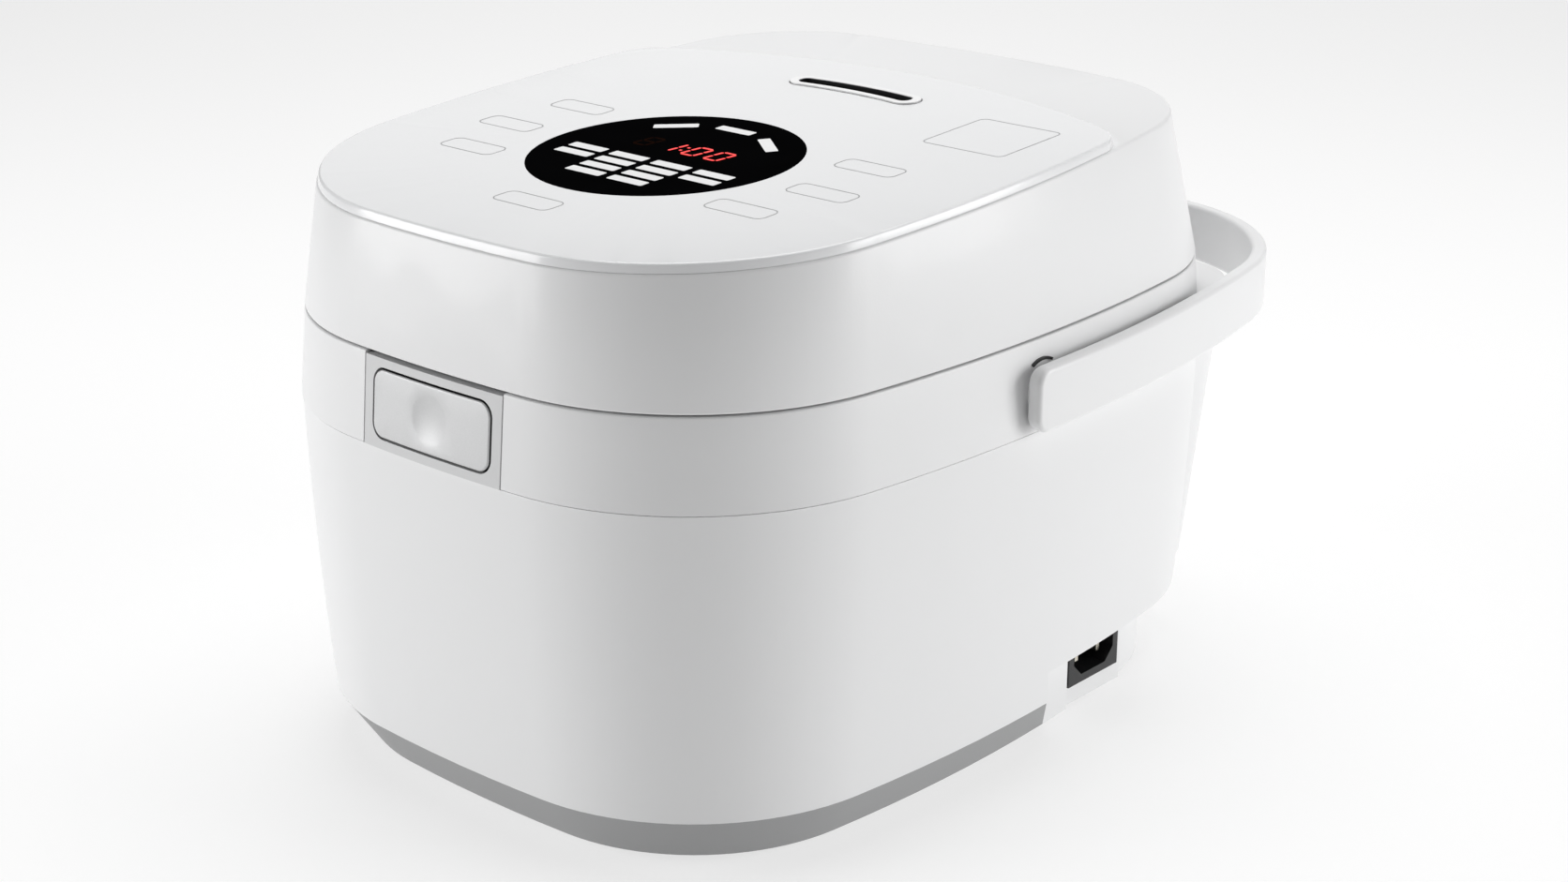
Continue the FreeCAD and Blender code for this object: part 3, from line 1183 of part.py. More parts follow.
def make_lid_inner_frame():
    plate = lid_block(WALL + FIT).common(slab(FRAME_BOTTOM_Z, FRAME_TOP_Z))
    arms = []
    for x0, x1 in hinge_arm_box(0):
        arm = box(x0, x1, HINGE_Y - HINGE_ARM_REACH, HINGE_Y + KNUCKLE_R, FRAME_BOTTOM_Z,
                  FRAME_BOTTOM_Z + HINGE_ARM_T)
        drop = box(x0, x1, BODY_HALF_DEPTH + HINGE_ARM_CLEAR, HINGE_Y + KNUCKLE_R, HINGE_Z, FRAME_BOTTOM_Z)
        barrel = rod_x(KNUCKLE_R, x0, x1, HINGE_Y, HINGE_Z)
        arms += [arm, drop, barrel]
    frame = joined([plate] + arms)
    cuts = [rod_x(HINGE_PIN_R + RUNNING, -FAR, FAR, HINGE_Y, HINGE_Z)]
    cuts.append(disc(STEAM_HOLE_R + SEAT, 0, VENT_Y, FRAME_BOTTOM_Z, FRAME_TOP_Z))
    cuts += [disc(SCREW_R + FIT, x, y, FRAME_BOTTOM_Z, FRAME_TOP_Z) for x, y in lid_post_spots()]
    return frame.cut(cuts)


def make_lid_screws():
    screws = []
    for x, y in lid_post_spots():
        head = disc(SCREW_HEAD_R, x, y, FRAME_BOTTOM_Z - SCREW_HEAD_T, FRAME_BOTTOM_Z)
        shank = disc(SCREW_R, x, y, FRAME_BOTTOM_Z, FRAME_TOP_Z + SCREW_BITE - FIT)
        screws.append(joined([head, shank]))
    return Part.makeCompound(screws)


def make_lid_strike():
    toe_z = LATCH_TOP_Z - NOSE_T - FIT
    plate = box(-STRIKE_HALF_WIDTH, STRIKE_HALF_WIDTH, STRIKE_Y, STRIKE_Y + STRIKE_T,
                toe_z - STRIKE_TOE_T, FRAME_BOTTOM_Z)
    toe = box(-STRIKE_HALF_WIDTH, STRIKE_HALF_WIDTH, STRIKE_Y - STRIKE_TOE, STRIKE_Y,
              toe_z - STRIKE_TOE_T, toe_z)
    return joined([plate, toe])


def make_inner_lid():
    plate = disc(INNER_LID_R, 0, 0, FRAME_BOTTOM_Z - INNER_LID_T, FRAME_BOTTOM_Z)
    holes = [disc(STEAM_HOLE_R + SEAT, 0, VENT_Y, FRAME_BOTTOM_Z - INNER_LID_T, FRAME_BOTTOM_Z)]
    holes.append(disc(LID_SENSOR_R + FIT, 0, LID_SENSOR_Y, FRAME_BOTTOM_Z - INNER_LID_T, FRAME_BOTTOM_Z))
    return plate.cut(holes)


def make_inner_lid_gasket():
    z0 = POT_RIM_Z + GASKET_GAP
    ring = disc(INNER_LID_R + GASKET_WIDTH, 0, 0, z0, FRAME_BOTTOM_Z)
    return ring.cut(disc(INNER_LID_R + FIT, 0, 0, z0, FRAME_BOTTOM_Z))


def make_steam_grommet():
    bottom = FRAME_BOTTOM_Z - INNER_LID_T - GROMMET_FLANGE_T
    tube = disc(STEAM_HOLE_R, 0, VENT_Y, bottom, FRAME_TOP_Z + GROMMET_RISE)
    flange = disc(STEAM_HOLE_R + GROMMET_FLANGE, 0, VENT_Y, bottom, bottom + GROMMET_FLANGE_T)
    bore = disc(STEAM_HOLE_R - GROMMET_WALL, 0, VENT_Y, bottom, FRAME_TOP_Z + GROMMET_RISE)
    return joined([tube, flange]).cut(bore)


def make_lid_sensor():
    return disc(LID_SENSOR_R, 0, LID_SENSOR_Y, FRAME_BOTTOM_Z - INNER_LID_T - LID_SENSOR_DROP, FRAME_BOTTOM_Z)


PIECES = {
    "base_tray": make_base_tray,
    "rubber_feet": make_rubber_feet,
    "base_screws": make_base_screws,
    "lower_body_shell": make_lower_body_shell,
    "rear_base": make_rear_base,
    "power_inlet": make_power_inlet,
    "inlet_pins": lambda: Part.makeCompound(inlet_pins(0)),
    "rear_cover": make_rear_cover,
    "upper_ring": make_upper_ring,
    "inner_pot": make_inner_pot,
    "pot_well": make_pot_well,
    "coil_carrier": make_coil_carrier,
    "induction_coil": make_induction_coil,
    "ferrite_bars": make_ferrite_bars,
    "sensor_plunger": make_sensor_plunger,
    "sensor_spring": make_sensor_spring,
    "fan_frame": make_fan_frame,
    "fan_rotor": make_fan_rotor,
    "power_board": make_power_board,
    "heat_sink": make_heat_sink,
    "capacitors": make_capacitors,
    "button_bezel": make_button_bezel,
    "open_button": make_open_button,
    "button_spring": make_button_spring,
    "latch_housing": make_latch_housing,
    "latch_lever": make_latch_lever,
    "latch_pin": make_latch_pin,
    "handle_pivots": make_handle_pivots,
    "carry_handle": make_carry_handle,
    "hinge_pin": make_hinge_pin,
    "hinge_spring": make_hinge_spring,
    "lid_shell": make_lid_shell,
    "lid_panel": make_lid_panel,
    "display_window": make_display_window,
    "display_module": make_display_module,
    "display_board": make_display_board,
    "steam_vent_trim": make_steam_vent_trim,
    "steam_chamber": make_steam_chamber,
    "lid_inner_frame": make_lid_inner_frame,
    "lid_screws": make_lid_screws,
    "lid_strike": make_lid_strike,
    "inner_lid": make_inner_lid,
    "inner_lid_gasket": make_inner_lid_gasket,
    "steam_grommet": make_steam_grommet,
    "lid_sensor": make_lid_sensor,
}

for name, make in PIECES.items():
    shape = make()
    shape.translate(Vector(0, FRAME_SHIFT_Y, 0))
    shape.exportStep("parts/" + name + ".step")
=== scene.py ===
import json
import math

import bpy
from mathutils import Matrix, Vector

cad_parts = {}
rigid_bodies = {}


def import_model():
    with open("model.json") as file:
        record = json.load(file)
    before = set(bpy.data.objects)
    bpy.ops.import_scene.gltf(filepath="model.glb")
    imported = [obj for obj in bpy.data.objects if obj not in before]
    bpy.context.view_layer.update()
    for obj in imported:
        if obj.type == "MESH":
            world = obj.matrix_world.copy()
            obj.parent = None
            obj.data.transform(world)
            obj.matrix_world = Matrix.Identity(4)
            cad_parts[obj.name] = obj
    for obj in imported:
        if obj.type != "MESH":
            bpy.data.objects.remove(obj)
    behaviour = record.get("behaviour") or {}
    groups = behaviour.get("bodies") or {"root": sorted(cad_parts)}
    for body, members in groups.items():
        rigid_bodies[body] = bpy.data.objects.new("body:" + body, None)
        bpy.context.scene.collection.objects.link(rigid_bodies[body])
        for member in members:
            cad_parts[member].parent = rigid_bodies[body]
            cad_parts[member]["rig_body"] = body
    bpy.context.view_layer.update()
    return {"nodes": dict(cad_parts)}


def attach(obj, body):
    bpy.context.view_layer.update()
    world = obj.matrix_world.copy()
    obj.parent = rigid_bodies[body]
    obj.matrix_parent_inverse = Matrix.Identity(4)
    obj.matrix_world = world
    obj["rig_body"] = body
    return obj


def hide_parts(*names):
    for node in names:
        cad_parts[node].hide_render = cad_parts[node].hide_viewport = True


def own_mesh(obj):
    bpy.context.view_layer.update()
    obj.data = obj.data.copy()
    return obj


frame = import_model()

# Base tray: the grey pan under the front of the body, injection moulded with a fine matte grain,
# screwed up into the shell from below.


class Plug:
    """A shader socket that can be added, multiplied and led into further nodes."""

    def __init__(self, tree, out=None):
        self.tree = tree
        self.out = out

    def node(self, kind, settings=None, pick=0, **values):
        made = self.tree.nodes.new(kind)
        for key, value in (settings or {}).items():
            if key == "stops":
                for stop, (place, colour) in zip(made.color_ramp.elements, value):
                    stop.position = place
                    stop.color = colour
            else:
                setattr(made, key, value)
        for key, value in values.items():
            numbered = key.startswith("in") and key[2:].isdigit()
            socket = made.inputs[int(key[2:]) if numbered else key]
            if isinstance(value, Plug):
                self.tree.links.new(value.out, socket)
            else:
                socket.default_value = value
        return Plug(self.tree, made.outputs[pick])

    def spot_on_piece(self):
        # Object coordinates, so that a grain stays on the piece when it moves.
        return self.node("ShaderNodeTexCoord", pick=3)

    def noise(self, spot, scale, detail):
        return self.node("ShaderNodeTexNoise", Vector=spot, Scale=scale, Detail=detail)

    def bump(self, height, strength, depth):
        return self.node("ShaderNodeBump", Strength=strength, Distance=depth, Height=height)

    def sums(self, operation, first, second):
        return self.node("ShaderNodeMath", {"operation": operation}, in0=first, in1=second)

    def __add__(self, other):
        return self.sums("ADD", self, other)

    __radd__ = __add__

    def __sub__(self, other):
        return self.sums("SUBTRACT", self, other)

    def __rsub__(self, other):
        return self.sums("SUBTRACT", other, self)

    def __mul__(self, other):
        return self.sums("MULTIPLY", self, other)

    __rmul__ = __mul__

    def blend(self, low, high):
        low, high = (*low, 1), (*high, 1)
        return self.node("ShaderNodeMix", {"data_type": "RGBA"}, pick=2, in0=self, in6=low, in7=high)


def new_finish(name):
    material = bpy.data.materials.new(name)
    material.use_nodes = True
    material.node_tree.nodes.clear()
    shader = material.node_tree.nodes.new("ShaderNodeBsdfPrincipled")
    output = material.node_tree.nodes.new("ShaderNodeOutputMaterial")
    material.node_tree.links.new(shader.outputs[0], output.inputs[0])
    return material, Plug(material.node_tree), shader


def lead(plug, shader, name):
    plug.tree.links.new(plug.out, shader.inputs[name])


def darker(colour, share):
    return tuple(part * share for part in colour)


def moulded(name, colour, roughness, grain, depth, shade=0.97, coat=0.0):
    # Moulded plastic: a soft drift of tone, fine grain in gloss and relief.
    material, plug, shader = new_finish(name)
    spot = plug.spot_on_piece()
    drift = plug.noise(spot, scale=14.0, detail=3.0)
    speck = plug.noise(spot, scale=grain, detail=2.0)
    lead(drift.blend(darker(colour, shade), colour), shader, "Base Color")
    lead(roughness + (drift - 0.5) * 0.08 + (speck - 0.5) * 0.06, shader, "Roughness")
    lead(plug.bump(speck, strength=0.35, depth=depth), shader, "Normal")
    shader.inputs["Coat Weight"].default_value = coat
    shader.inputs["Coat Roughness"].default_value = 0.12
    return material


def dress(node, material):
    piece = frame["nodes"][node]
    piece.data.materials.clear()
    piece.data.materials.append(material)


def skin(node, material):
    # A welded, smooth-shaded twin of a casing that stands for it.
    weld_distance = 0.000002
    crease = math.radians(28)
    source = frame["nodes"][node]
    piece = bpy.data.objects.new(node + "_skin", source.data.copy())
    bpy.context.scene.collection.objects.link(piece)
    bpy.ops.object.select_all(action="DESELECT")
    bpy.context.view_layer.objects.active = piece
    piece.select_set(True)
    bpy.ops.mesh.customdata_custom_splitnormals_clear()
    bpy.ops.object.mode_set(mode="EDIT")
    bpy.ops.mesh.select_all(action="SELECT")
    bpy.ops.mesh.remove_doubles(threshold=weld_distance)
    bpy.ops.object.mode_set(mode="OBJECT")
    bpy.ops.object.shade_smooth_by_angle(angle=crease)
    piece.data.materials.clear()
    piece.data.materials.append(material)
    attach(piece, source["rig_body"])
    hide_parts(node)
    return piece


grey_grain = moulded(
    "grey_grain", (0.31, 0.312, 0.315), roughness=0.55, grain=2600.0, depth=0.0002, shade=0.9
)
skin("base_tray", grey_grain)

# Feet and base screws: turned rubber pads pushed into the tray, and zinc-plated
# pan-head screws in deep counterbores.
foot_rubber = moulded(
    "foot_rubber", (0.030, 0.030, 0.031), roughness=0.75, grain=1800.0, depth=0.0002, shade=0.7
)
dress("rubber_feet", foot_rubber)


def machined(name, colour, roughness, stretch, metal=1.0):
    # Metal with tooling lines drawn out along one direction.
    material, plug, shader = new_finish(name)
    spot = plug.spot_on_piece()
    drawn = plug.node("ShaderNodeMapping", Vector=spot, Scale=stretch)
    lines = plug.noise(drawn, scale=900.0, detail=2.0)
    cloud = plug.noise(spot, scale=25.0, detail=3.0)
    lead(cloud.blend(darker(colour, 0.86), colour), shader, "Base Color")
    lead(roughness + (lines - 0.5) * 0.25, shader, "Roughness")
    lead(plug.bump(lines, strength=0.15, depth=0.0001), shader, "Normal")
    shader.inputs["Metallic"].default_value = metal
    return material


plated_steel = machined("plated_steel", (0.60, 0.60, 0.61), roughness=0.32, stretch=(1.0, 1.0, 0.1))
dress("base_screws", plated_steel)

# Body casings: lower shell, rear base, rear cover and the band with its deck, all moulded in one
# satin white plastic and snapped or screwed together.
satin_white = moulded(
    "satin_white", (0.80, 0.802, 0.806), roughness=0.36, grain=1400.0, depth=0.00006, shade=0.985, coat=0.12
)
for casing in ("lower_body_shell", "rear_base", "rear_cover", "upper_ring"):
    skin(casing, satin_white)

# Power inlet: a moulded black socket with plated brass blades pressed into it. It snaps into the
# right side of the rear base.
socket_black = moulded(
    "socket_black", (0.008, 0.008, 0.009), roughness=0.38, grain=1500.0, depth=0.00008, shade=0.8
)
skin("power_inlet", socket_black)
plated_brass = machined("plated_brass", (0.72, 0.68, 0.58), roughness=0.25, stretch=(0.1, 1.0, 1.0))
dress("inlet_pins", plated_brass)

# Power unit under the pot: a green lacquered board with an extruded aluminium heat sink and black
# capacitors, and a moulded black fan, all fixed to the tray floor.
board_green = moulded("board_green", (0.02, 0.16, 0.07), roughness=0.42, grain=700.0, depth=0.0001, shade=0.7)
dress("power_board", board_green)
raw_aluminium = machined("raw_aluminium", (0.70, 0.71, 0.72), roughness=0.36, stretch=(0.08, 1.0, 1.0))
dress("heat_sink", raw_aluminium)
for black_piece in ("capacitors", "fan_frame", "fan_rotor"):
    dress(black_piece, socket_black)

# Induction coil: enamelled litz wire laid in a flat spiral on a grey moulded carrier, with fired
# ferrite bars held below it.
frame_grey = moulded("frame_grey", (0.42, 0.43, 0.44), roughness=0.5, grain=1500.0, depth=0.0001, shade=0.93)
dress("coil_carrier", frame_grey)
enamelled_wire = machined(
    "enamelled_wire", (0.62, 0.25, 0.10), roughness=0.3, stretch=(1.0, 1.0, 1.0), metal=0.85
)
skin("induction_coil", enamelled_wire)
fired_ferrite = moulded(
    "fired_ferrite", (0.035, 0.035, 0.038), roughness=0.6, grain=900.0, depth=0.0002, shade=0.7
)
dress("ferrite_bars", fired_ferrite)

# Bottom sensor: a sprung aluminium button that bears on the pot. The steel coil under it stands on
# the carrier's hub and is given its own mesh, but nothing here presses it together as the button sinks.
dress("sensor_plunger", raw_aluminium)
sensor_coil = skin("sensor_spring", plated_steel)
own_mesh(sensor_coil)

# Pot well and inner pot: both pressed from aluminium sheet. The well hangs in the band's deck, and
# the pot that stands in it has a dark speckled non-stick coat.
skin("pot_well", raw_aluminium)
non_stick, plug, shader = new_finish("non_stick")
flecks = plug.node("ShaderNodeTexVoronoi", Vector=plug.spot_on_piece(), Scale=700.0)
fleck = plug.node("ShaderNodeValToRGB", {"stops": [(0.0, (1, 1, 1, 1)), (0.16, (0, 0, 0, 1))]}, in0=flecks)
lead(fleck.blend((0.022, 0.022, 0.024), (0.16, 0.16, 0.165)), shader, "Base Color")
lead(0.42 - flecks * 0.1, shader, "Roughness")
lead(plug.bump(flecks, strength=0.2, depth=0.0001), shader, "Normal")
skin("inner_pot", non_stick)

# Level marks: two scales of short and long lines, printed in grey on the coat of the pot's inner wall,
# at the rear.


def swept_wall(name, start, height, turns, thickness):
    # A thin upright wall: one upright edge led through a run of arcs and then thickened.
    bpy.ops.object.select_all(action="DESELECT")
    bpy.ops.mesh.primitive_plane_add(size=1.0)
    wall = bpy.context.object
    wall.name = name
    bpy.ops.object.mode_set(mode="EDIT")
    bpy.ops.mesh.select_all(action="SELECT")
    bpy.ops.mesh.merge(type="CENTER")
    bpy.ops.transform.translate(value=start)
    bpy.ops.mesh.extrude_region_move(TRANSFORM_OT_translate={"value": (0, 0, height)})
    bpy.ops.mesh.select_all(action="SELECT")
    for centre, angle, steps in turns:
        bpy.ops.mesh.spin(steps=steps, angle=angle, center=centre, axis=(0, 0, 1))
    bpy.ops.mesh.select_all(action="SELECT")
    bpy.ops.mesh.remove_doubles(threshold=0.00001)
    bpy.ops.mesh.normals_make_consistent(inside=False)
    bpy.ops.object.mode_set(mode="OBJECT")
    skin_depth = wall.modifiers.new("skin_depth", "SOLIDIFY")
    skin_depth.thickness = thickness
    skin_depth.offset = -1.0
    bpy.ops.object.modifier_apply(modifier=skin_depth.name)
    return wall


def copy_to(source, name, place):
    piece = bpy.data.objects.new(name, source.data.copy())
    bpy.context.scene.collection.objects.link(piece)
    piece.data.transform(place)
    return piece


def join_as(name, pieces, material, body):
    bpy.ops.object.select_all(action="DESELECT")
    for piece in pieces:
        piece.select_set(True)
    bpy.context.view_layer.objects.active = pieces[0]
    bpy.ops.object.join()
    pieces[0].name = name
    pieces[0].data.materials.clear()
    pieces[0].data.materials.append(material)
    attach(pieces[0], body)


def print_ink(name, colour):
    return moulded(name, colour, roughness=0.5, grain=1200.0, depth=0.00001)


body_middle_y = -0.02325
pot_wall_r = 0.0957
mark_height = 0.0011
mark_thickness = 0.0001
mark_angle = 4
lowest_mark = 0.084
mark_step = 0.0085
marks_in_scale = 8
scale_bearings = (97, 118)
pot_axis = (0, 0, 0)
mark_start = (pot_wall_r, 0, 0)
short_turn = (pot_axis, math.radians(-mark_angle), 6)
long_turn = (pot_axis, math.radians(-2 * mark_angle), 10)
mark = swept_wall("mark", mark_start, mark_height, [short_turn], mark_thickness)
long_mark = swept_wall("long_mark", mark_start, mark_height, [long_turn], mark_thickness)
marks = []
for bearing in scale_bearings:
    for step in range(marks_in_scale):
        place = Matrix.Translation((0, body_middle_y, lowest_mark + step * mark_step))
        turn = Matrix.Rotation(math.radians(bearing), 4, "Z")
        marks.append(copy_to(mark if step % 2 else long_mark, "mark", place @ turn))
join_as("pot_level_marks", marks, print_ink("mark_print", (0.55, 0.55, 0.56)), "body")
for pattern in (mark, long_mark):
    bpy.data.objects.remove(pattern)

# Button bezel and open button: a silver frame let into the band, and a silver push button whose side
# walls are painted black as shade, so that the gap round it reads dark.
bezel_silver = moulded(
    "bezel_silver", (0.64, 0.643, 0.647), roughness=0.36, grain=2200.0, depth=0.00004, coat=0.1
)
skin("button_bezel", bezel_silver)
button_silver, plug, shader = new_finish("button_silver")
mist = plug.noise(plug.spot_on_piece(), scale=2600.0, detail=2.0)
lead(mist.blend((0.52, 0.523, 0.527), (0.62, 0.623, 0.627)), shader, "Base Color")
lead(0.38 + mist * 0.16, shader, "Roughness")
lead(plug.bump(mist, strength=0.15, depth=0.00005), shader, "Normal")
shader.inputs["Metallic"].default_value = 0.3
button_skin = skin("open_button", button_silver)
# The black second material on the button's side walls is painted shade for the gap round it.
button_skin.data.materials.append(socket_black)
painted_shade_wall_tilt = 0.35
for face in button_skin.data.polygons:
    if abs(face.normal.y) < painted_shade_wall_tilt:
        face.material_index = 1

# Latch: a grey moulded lever on a steel pin, in a housing behind the button. A coil of plated
# spring wire brings the button back.
for grey_piece in ("latch_housing", "latch_lever"):
    dress(grey_piece, frame_grey)
dress("latch_pin", plated_steel)
skin("button_spring", plated_steel)

# Carry handle: a moulded white bow on two steel pivots in the band. Over each pivot a thin black arc
# lies in the band: painted shade of the recess round the pivot, showing past the arm.
skin("carry_handle", satin_white)
dress("handle_pivots", plated_steel)
pivot_shade_x = 0.1290
pivot_y = -0.02475
pivot_z = 0.14825
pivot_shade_r = 0.0124
pivot_shade_reach = 0.0020
pivot_shade_thickness = 0.0010
pivot_shade_half_angle = math.radians(28)
pivot_shade_end = math.pi + pivot_shade_half_angle
pivot_shade_start = (pivot_shade_r * math.cos(pivot_shade_end), pivot_shade_r * math.sin(pivot_shade_end), 0)
# The stop pieces are this black arc of painted shade, copied to both sides of the band.
stop = swept_wall("stop", pivot_shade_start, pivot_shade_reach, [((0, 0, 0), 2 * pivot_shade_half_angle, 24)], pivot_shade_thickness)
face_out = Matrix.Rotation(math.radians(90), 4, "Y")
stops = []
for side in (1, -1):
    place = Matrix.Translation((side * pivot_shade_x, pivot_y, pivot_z))
    about = Matrix.Rotation(0 if side > 0 else math.pi, 4, "Z")
    stops.append(copy_to(stop, "stop", place @ about @ face_out))
join_as("handle_stop_slots", stops, socket_black, "body")
bpy.data.objects.remove(stop)

# Lid hinge: a turned steel pin through the rear knuckles, with a torsion coil of spring wire wound
# round its middle to lift the lid.
skin("hinge_pin", plated_steel)
skin("hinge_spring", plated_steel)

# Lid: a moulded shell in the casings' satin white, and the touch panel stuck on its deck, moulded in
# a glossier and slightly cooler white.
skin("lid_shell", satin_white)
cool_gloss = moulded(
    "cool_gloss", (0.815, 0.82, 0.828), roughness=0.22, grain=900.0, depth=0.00003, shade=0.985, coat=0.35
)
skin("lid_panel", cool_gloss)

# Steam vent: a bright white trim ring round the bowed slot, a fine grey line of painted gap shade round it,
# a black lining down the slot as painted shade, the chamber below it, and a silicone grommet in the frame.
trim_white = moulded(
    "trim_white", (0.90, 0.90, 0.90), roughness=0.2, grain=900.0, depth=0.00002, shade=0.985, coat=0.4
)
skin("steam_vent_trim", trim_white)
lid_rim_z = 0.220
lid_slope = math.radians(3.15)
lid_deck = Matrix.Translation((0, body_middle_y, lid_rim_z)) @ Matrix.Rotation(lid_slope, 4, "X")
panel_top = 0.0032
slot_middle_y = 0.05385
slot_bow_r = 0.1731
slot_hub = (0, slot_middle_y - slot_bow_r, 0)


def on_panel(x, y):
    return lid_deck @ Matrix.Translation((x, y, panel_top))


def slot_path(half_width, reach):
    # Start and turns of the outline of the bowed slot at a given half width.
    spread = math.asin(reach / slot_bow_r)
    end_y = slot_hub[1] + slot_bow_r * math.cos(spread)
    edge_r = slot_bow_r + half_width
    start = (-edge_r * math.sin(spread), slot_hub[1] + edge_r * math.cos(spread), 0)
    turns = [
        (slot_hub, 2 * spread, 24),
        ((reach, end_y, 0), math.pi, 12),
        (slot_hub, -2 * spread, 24),
        ((-reach, end_y, 0), math.pi, 12),
    ]
    return start, turns


# Black lining on the slot walls: painted shade for the depth of the slot.
slot_shade_half_width = 0.00322
slot_shade_end_x = 0.0242
slot_shade_depth = 0.0036
slot_shade_wall = 0.0003
start, turns = slot_path(slot_shade_half_width, slot_shade_end_x)
slot_shade = swept_wall("vent_slot_shade", start, slot_shade_depth, turns, slot_shade_wall)
slot_shade.data.transform(lid_deck)
slot_shade.data.materials.append(socket_black)
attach(slot_shade, "lid")
trim_half_width = 0.00598
trim_end_x = 0.0252
# A fine grey line round the trim on the panel: painted shade for the gap between trim and panel.
line_width = 0.00035
line_height = 0.00006
start, turns = slot_path(trim_half_width + line_width, trim_end_x)
trim_line = swept_wall("vent_trim_line", start, line_height, turns, line_width)
trim_line.data.transform(on_panel(0, 0))
gap_shade_grey = moulded("gap_shade_grey", (0.16, 0.16, 0.165), roughness=0.6, grain=1200.0, depth=0.00001)
trim_line.data.materials.append(gap_shade_grey)
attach(trim_line, "lid")
dress("steam_chamber", socket_black)
pale_silicone = moulded(
    "pale_silicone", (0.62, 0.63, 0.64), roughness=0.6, grain=1200.0, depth=0.0001, shade=0.93
)
skin("steam_grommet", pale_silicone)

# Display window: a tinted black acrylic disc set flush in the panel. The module and its green
# lacquered board are screwed up behind it.


def dark_tint(name, deep, light):
    # Tinted acrylic without a sheen, so that the figures behind it stand out.
    material, plug, shader = new_finish(name)
    haze = plug.noise(plug.spot_on_piece(), scale=40.0, detail=4.0)
    lead(haze.blend(deep, light), shader, "Base Color")
    lead(0.10 + haze * 0.08, shader, "Roughness")
    shader.inputs["Specular IOR Level"].default_value = 0.0
    return material


black_acrylic = dark_tint("black_acrylic", (0.0012, 0.0012, 0.0013), (0.0025, 0.0025, 0.0028))
skin("display_window", black_acrylic)
dress("display_module", socket_black)
dress("display_board", board_green)

# Display figures: red lit bars behind the window, leaning a little, each a bar with pointed ends,
# and the unlit ghost of the first figure.


def flat_plate(name, size, corner, segments, height, line=0.0):
    # A thin plate with cut or rounded corners, or only its outline where line is given.
    bpy.ops.object.select_all(action="DESELECT")
    bpy.ops.mesh.primitive_plane_add(size=1.0)
    plate = bpy.context.object
    plate.name = name
    bpy.ops.object.mode_set(mode="EDIT")
    bpy.ops.mesh.select_all(action="SELECT")
    bpy.ops.transform.resize(value=(size[0], size[1], 1.0))
    bpy.ops.mesh.bevel(offset=corner, offset_type="OFFSET", segments=segments, affect="VERTICES")
    if line:
        bpy.ops.mesh.select_all(action="SELECT")
        bpy.ops.mesh.inset(thickness=line)
        bpy.ops.mesh.delete(type="FACE")
    bpy.ops.object.mode_set(mode="OBJECT")
    wall = plate.modifiers.new("wall", "SOLIDIFY")
    wall.thickness = height
    wall.offset = 1.0
    bpy.ops.object.modifier_apply(modifier=wall.name)
    return plate


def glowing(name, colour, glow):
    material, plug, shader = new_finish(name)
    grain = plug.noise(plug.spot_on_piece(), scale=900.0, detail=2.0)
    for socket in ("Base Color", "Emission Color"):
        lead(grain.blend(darker(colour, 0.8), colour), shader, socket)
    shader.inputs["Emission Strength"].default_value = glow
    shader.inputs["Roughness"].default_value = 0.4
    return material


display_y = -0.052
figures_y = display_y + 0.0085
bar = flat_plate("bar", (0.0054, 0.0012), corner=0.00055, segments=1, height=0.00008)
figure_half = 0.0030
figure_step = 0.0024
upright_share = 0.82
lean_degrees = 9
lean = math.tan(math.radians(lean_degrees))
bars = {
    "top": (0, 2, False),
    "mid": (0, 0, False),
    "low": (0, -2, False),
    "left_top": (-1, 1, True),
    "right_top": (1, 1, True),
    "left_low": (-1, -1, True),
    "right_low": (1, -1, True),
}


def figure(middle_x, lit):
    made = []
    for key in lit:
        side, level, upright = bars[key]
        x = side * figure_half + level * figure_step * lean
        y = level * figure_step
        turn = Matrix.Identity(4)
        if upright:
            stand = Matrix.Rotation(math.radians(90 - lean_degrees), 4, "Z")
            turn = stand @ Matrix.Diagonal((upright_share, 1, 1, 1))
        made.append(copy_to(bar, "bar", on_panel(middle_x + x, figures_y + y) @ turn))
    return made


zero = ("top", "low", "left_top", "right_top", "left_low", "right_low")
one = ("right_top", "right_low")
lit_bars = figure(-0.005, one) + figure(0.0072, zero) + figure(0.0182, zero)
colon_x = 0.0012
colon_rise = 0.0019
dot_share = Matrix.Diagonal((0.22, 0.9, 1, 1))
for rise in (-colon_rise, colon_rise):
    lit_bars.append(copy_to(bar, "bar", on_panel(colon_x + rise * lean, figures_y + rise) @ dot_share))
join_as("display_figures", lit_bars, glowing("lit_red", (0.72, 0.008, 0.005), 0.95), "lid")
unlit_bars = dark_tint("unlit_bars", (0.008, 0.003, 0.002), (0.012, 0.005, 0.003))
join_as("display_ghost", figure(-0.0165, bars), unlit_bars, "lid")

# Display label fields: plain white fields printed on the window, in columns under the figures and on
# an arc above them.
field = flat_plate("field", (0.0168, 0.0047), corner=0.0006, segments=3, height=0.00006)
first_row_y = display_y - 0.0092
row_step = 0.0072
field_columns = ((-0.0297, 2), (-0.0092, 4), (0.0114, 4), (0.0319, 2))
fields = []
for column_x, row_count in field_columns:
    for row in range(row_count):
        fields.append(copy_to(field, "field", on_panel(column_x, first_row_y - row_step * row)))
arc_r = 0.0368
for degrees in (128, 90, 52):
    bearing = math.radians(degrees)
    place = on_panel(arc_r * math.cos(bearing), display_y + arc_r * math.sin(bearing))
    fields.append(copy_to(field, "field", place @ Matrix.Rotation(bearing - math.pi / 2, 4, "Z")))
join_as("display_fields", fields, print_ink("printed_white", (0.86, 0.86, 0.86)), "lid")

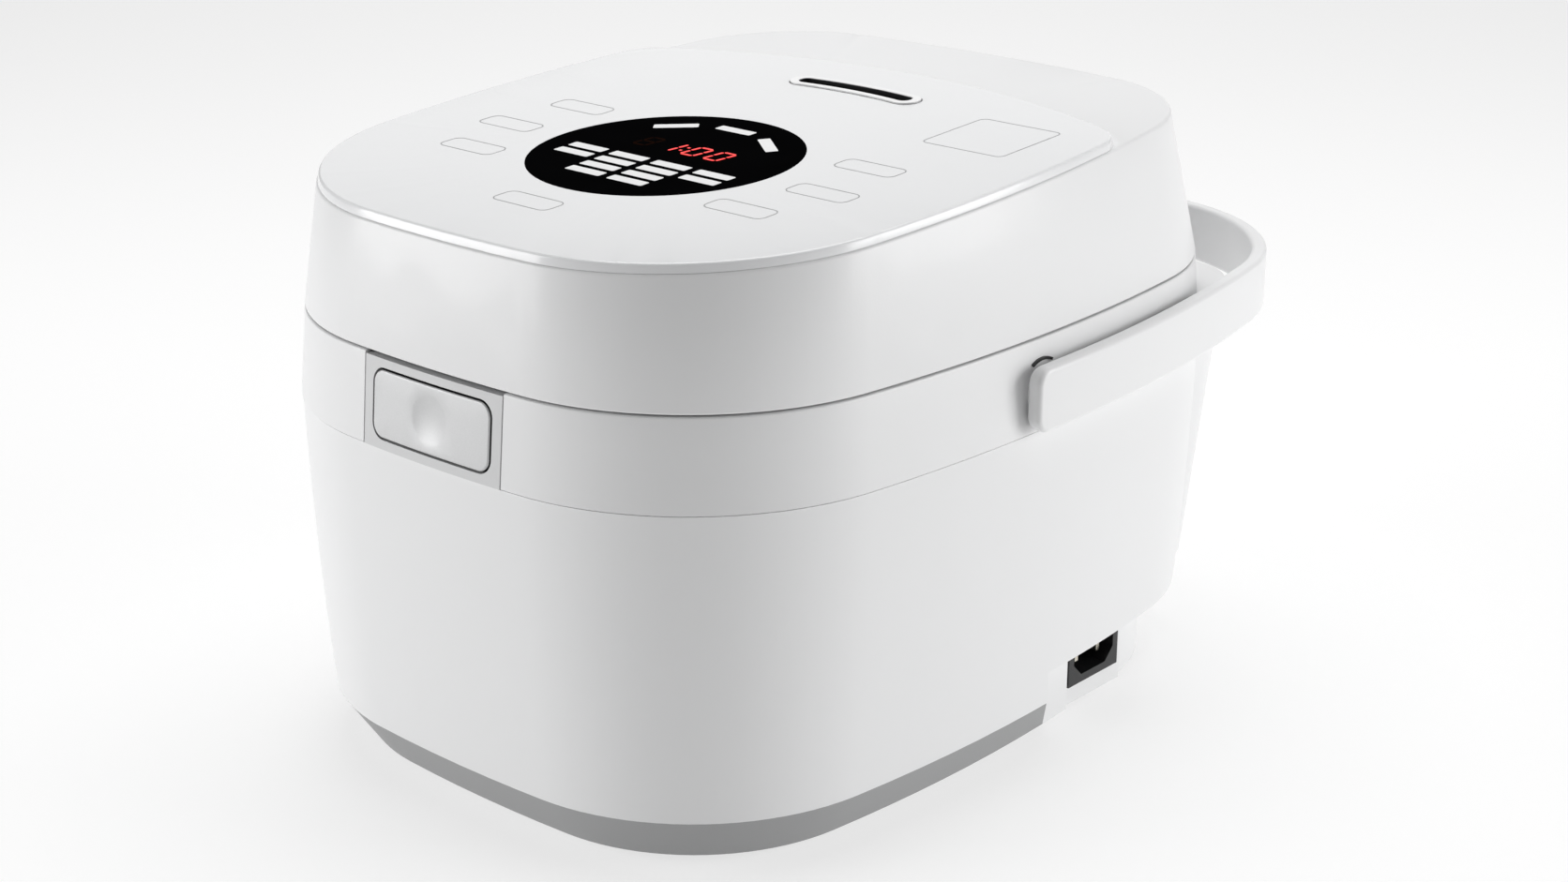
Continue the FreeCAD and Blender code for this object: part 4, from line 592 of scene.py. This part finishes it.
# Touch keys: plain thin outlines printed in grey on the panel round the window, three at each side and
# one in front. They work by touch through the panel.
ink_height = 0.00005
ink_line = 0.00042
outline = flat_plate("outline", (0.0270, 0.0112), corner=0.0034, segments=8, height=ink_height, line=ink_line)
key_spots = []
for x, y in ((0.0710, -0.0240), (0.0765, -0.0555), (0.0657, -0.0845)):
    key_spots += [(x, y), (-x, y)]
key_spots.append((0.0, -0.1190))
rings = [copy_to(outline, "outline", on_panel(x, y)) for x, y in key_spots]
printed_grey = print_ink("printed_grey", (0.30, 0.305, 0.31))
join_as("touch_key_outlines", rings, printed_grey, "lid")

# Notice field: one larger plain outline in the same grey print, near the right rear corner of the
# panel.
notice = flat_plate("notice", (0.0360, 0.0370), corner=0.0030, segments=6, height=ink_height, line=ink_line)
notice_place = on_panel(0.0825, 0.0300)
join_as("notice_outline", [copy_to(notice, "notice", notice_place)], printed_grey, "lid")
for pattern in (bar, field, outline, notice):
    bpy.data.objects.remove(pattern)

# Underside of the lid: a grey moulded inner frame held by screws, and a pressed aluminium inner lid
# with its silicone seal. The latch strike and the sensor button are plated steel.
skin("lid_inner_frame", frame_grey)
skin("inner_lid", raw_aluminium)
skin("inner_lid_gasket", pale_silicone)
for steel_piece in ("lid_screws", "lid_strike", "lid_sensor"):
    dress(steel_piece, plated_steel)

# Studio: a pale sweep of floor that glows a little, four soft boxes, a white surround, and the camera
# at the photograph's place.
bpy.ops.object.select_all(action="DESELECT")
bpy.ops.mesh.primitive_plane_add(size=12.0, location=(0, 0, 0))
floor = bpy.context.object
floor.name = "floor"
floor_white, _, shader = new_finish("floor_white")
shader.inputs["Base Color"].default_value = (0.36, 0.36, 0.36, 1)
shader.inputs["Roughness"].default_value = 0.9
shader.inputs["Emission Color"].default_value = (1, 1, 1, 1)
shader.inputs["Emission Strength"].default_value = 0.64
floor.data.materials.append(floor_white)


def soft_box(name, place, aim, size, power):
    light = bpy.data.lights.new(name, "AREA")
    light.shape = "RECTANGLE"
    light.size, light.size_y = size
    light.energy = power
    lamp = bpy.data.objects.new(name, light)
    bpy.context.scene.collection.objects.link(lamp)
    lamp.location = place
    lamp.rotation_euler = (Vector(aim) - Vector(place)).to_track_quat("-Z", "Y").to_euler()


soft_box("right", (1.50, 0.92, 0.55), aim=(0.05, 0, 0.12), size=(1.0, 1.0), power=18.0)
soft_box("left", (-1.15, -1.35, 0.55), aim=(0, -0.05, 0.12), size=(1.0, 1.0), power=17.5)
soft_box("top", (-0.15, 0.25, 1.25), aim=(0, 0, 0.2), size=(1.0, 1.0), power=10.5)
soft_box("rear", (-1.25, 1.45, 0.85), aim=(0, 0, 0.2), size=(2.0, 1.2), power=6.0)

surround_light = 0.10
surround_seen = 1.0
world = bpy.data.worlds.new("studio")
bpy.context.scene.world = world
world.use_nodes = True
seen = Plug(world.node_tree).node("ShaderNodeLightPath")
back = world.node_tree.nodes["Background"]
back.inputs["Color"].default_value = (1, 1, 1, 1)
lead(surround_light + seen * (surround_seen - surround_light), back, "Strength")
bpy.context.scene.view_settings.view_transform = "Standard"

picture_width = 1672.0
focal_length = 2800.0
eye = bpy.data.cameras.new("eye")
eye.sensor_width = 36.0
eye.lens = eye.sensor_width * focal_length / picture_width
camera = bpy.data.objects.new("eye", eye)
bpy.context.scene.collection.objects.link(camera)
camera.location = (0.6358, -0.72825, 0.4448)
camera.rotation_euler = (math.radians(69.912), 0, math.radians(41.602))
bpy.context.scene.camera = camera
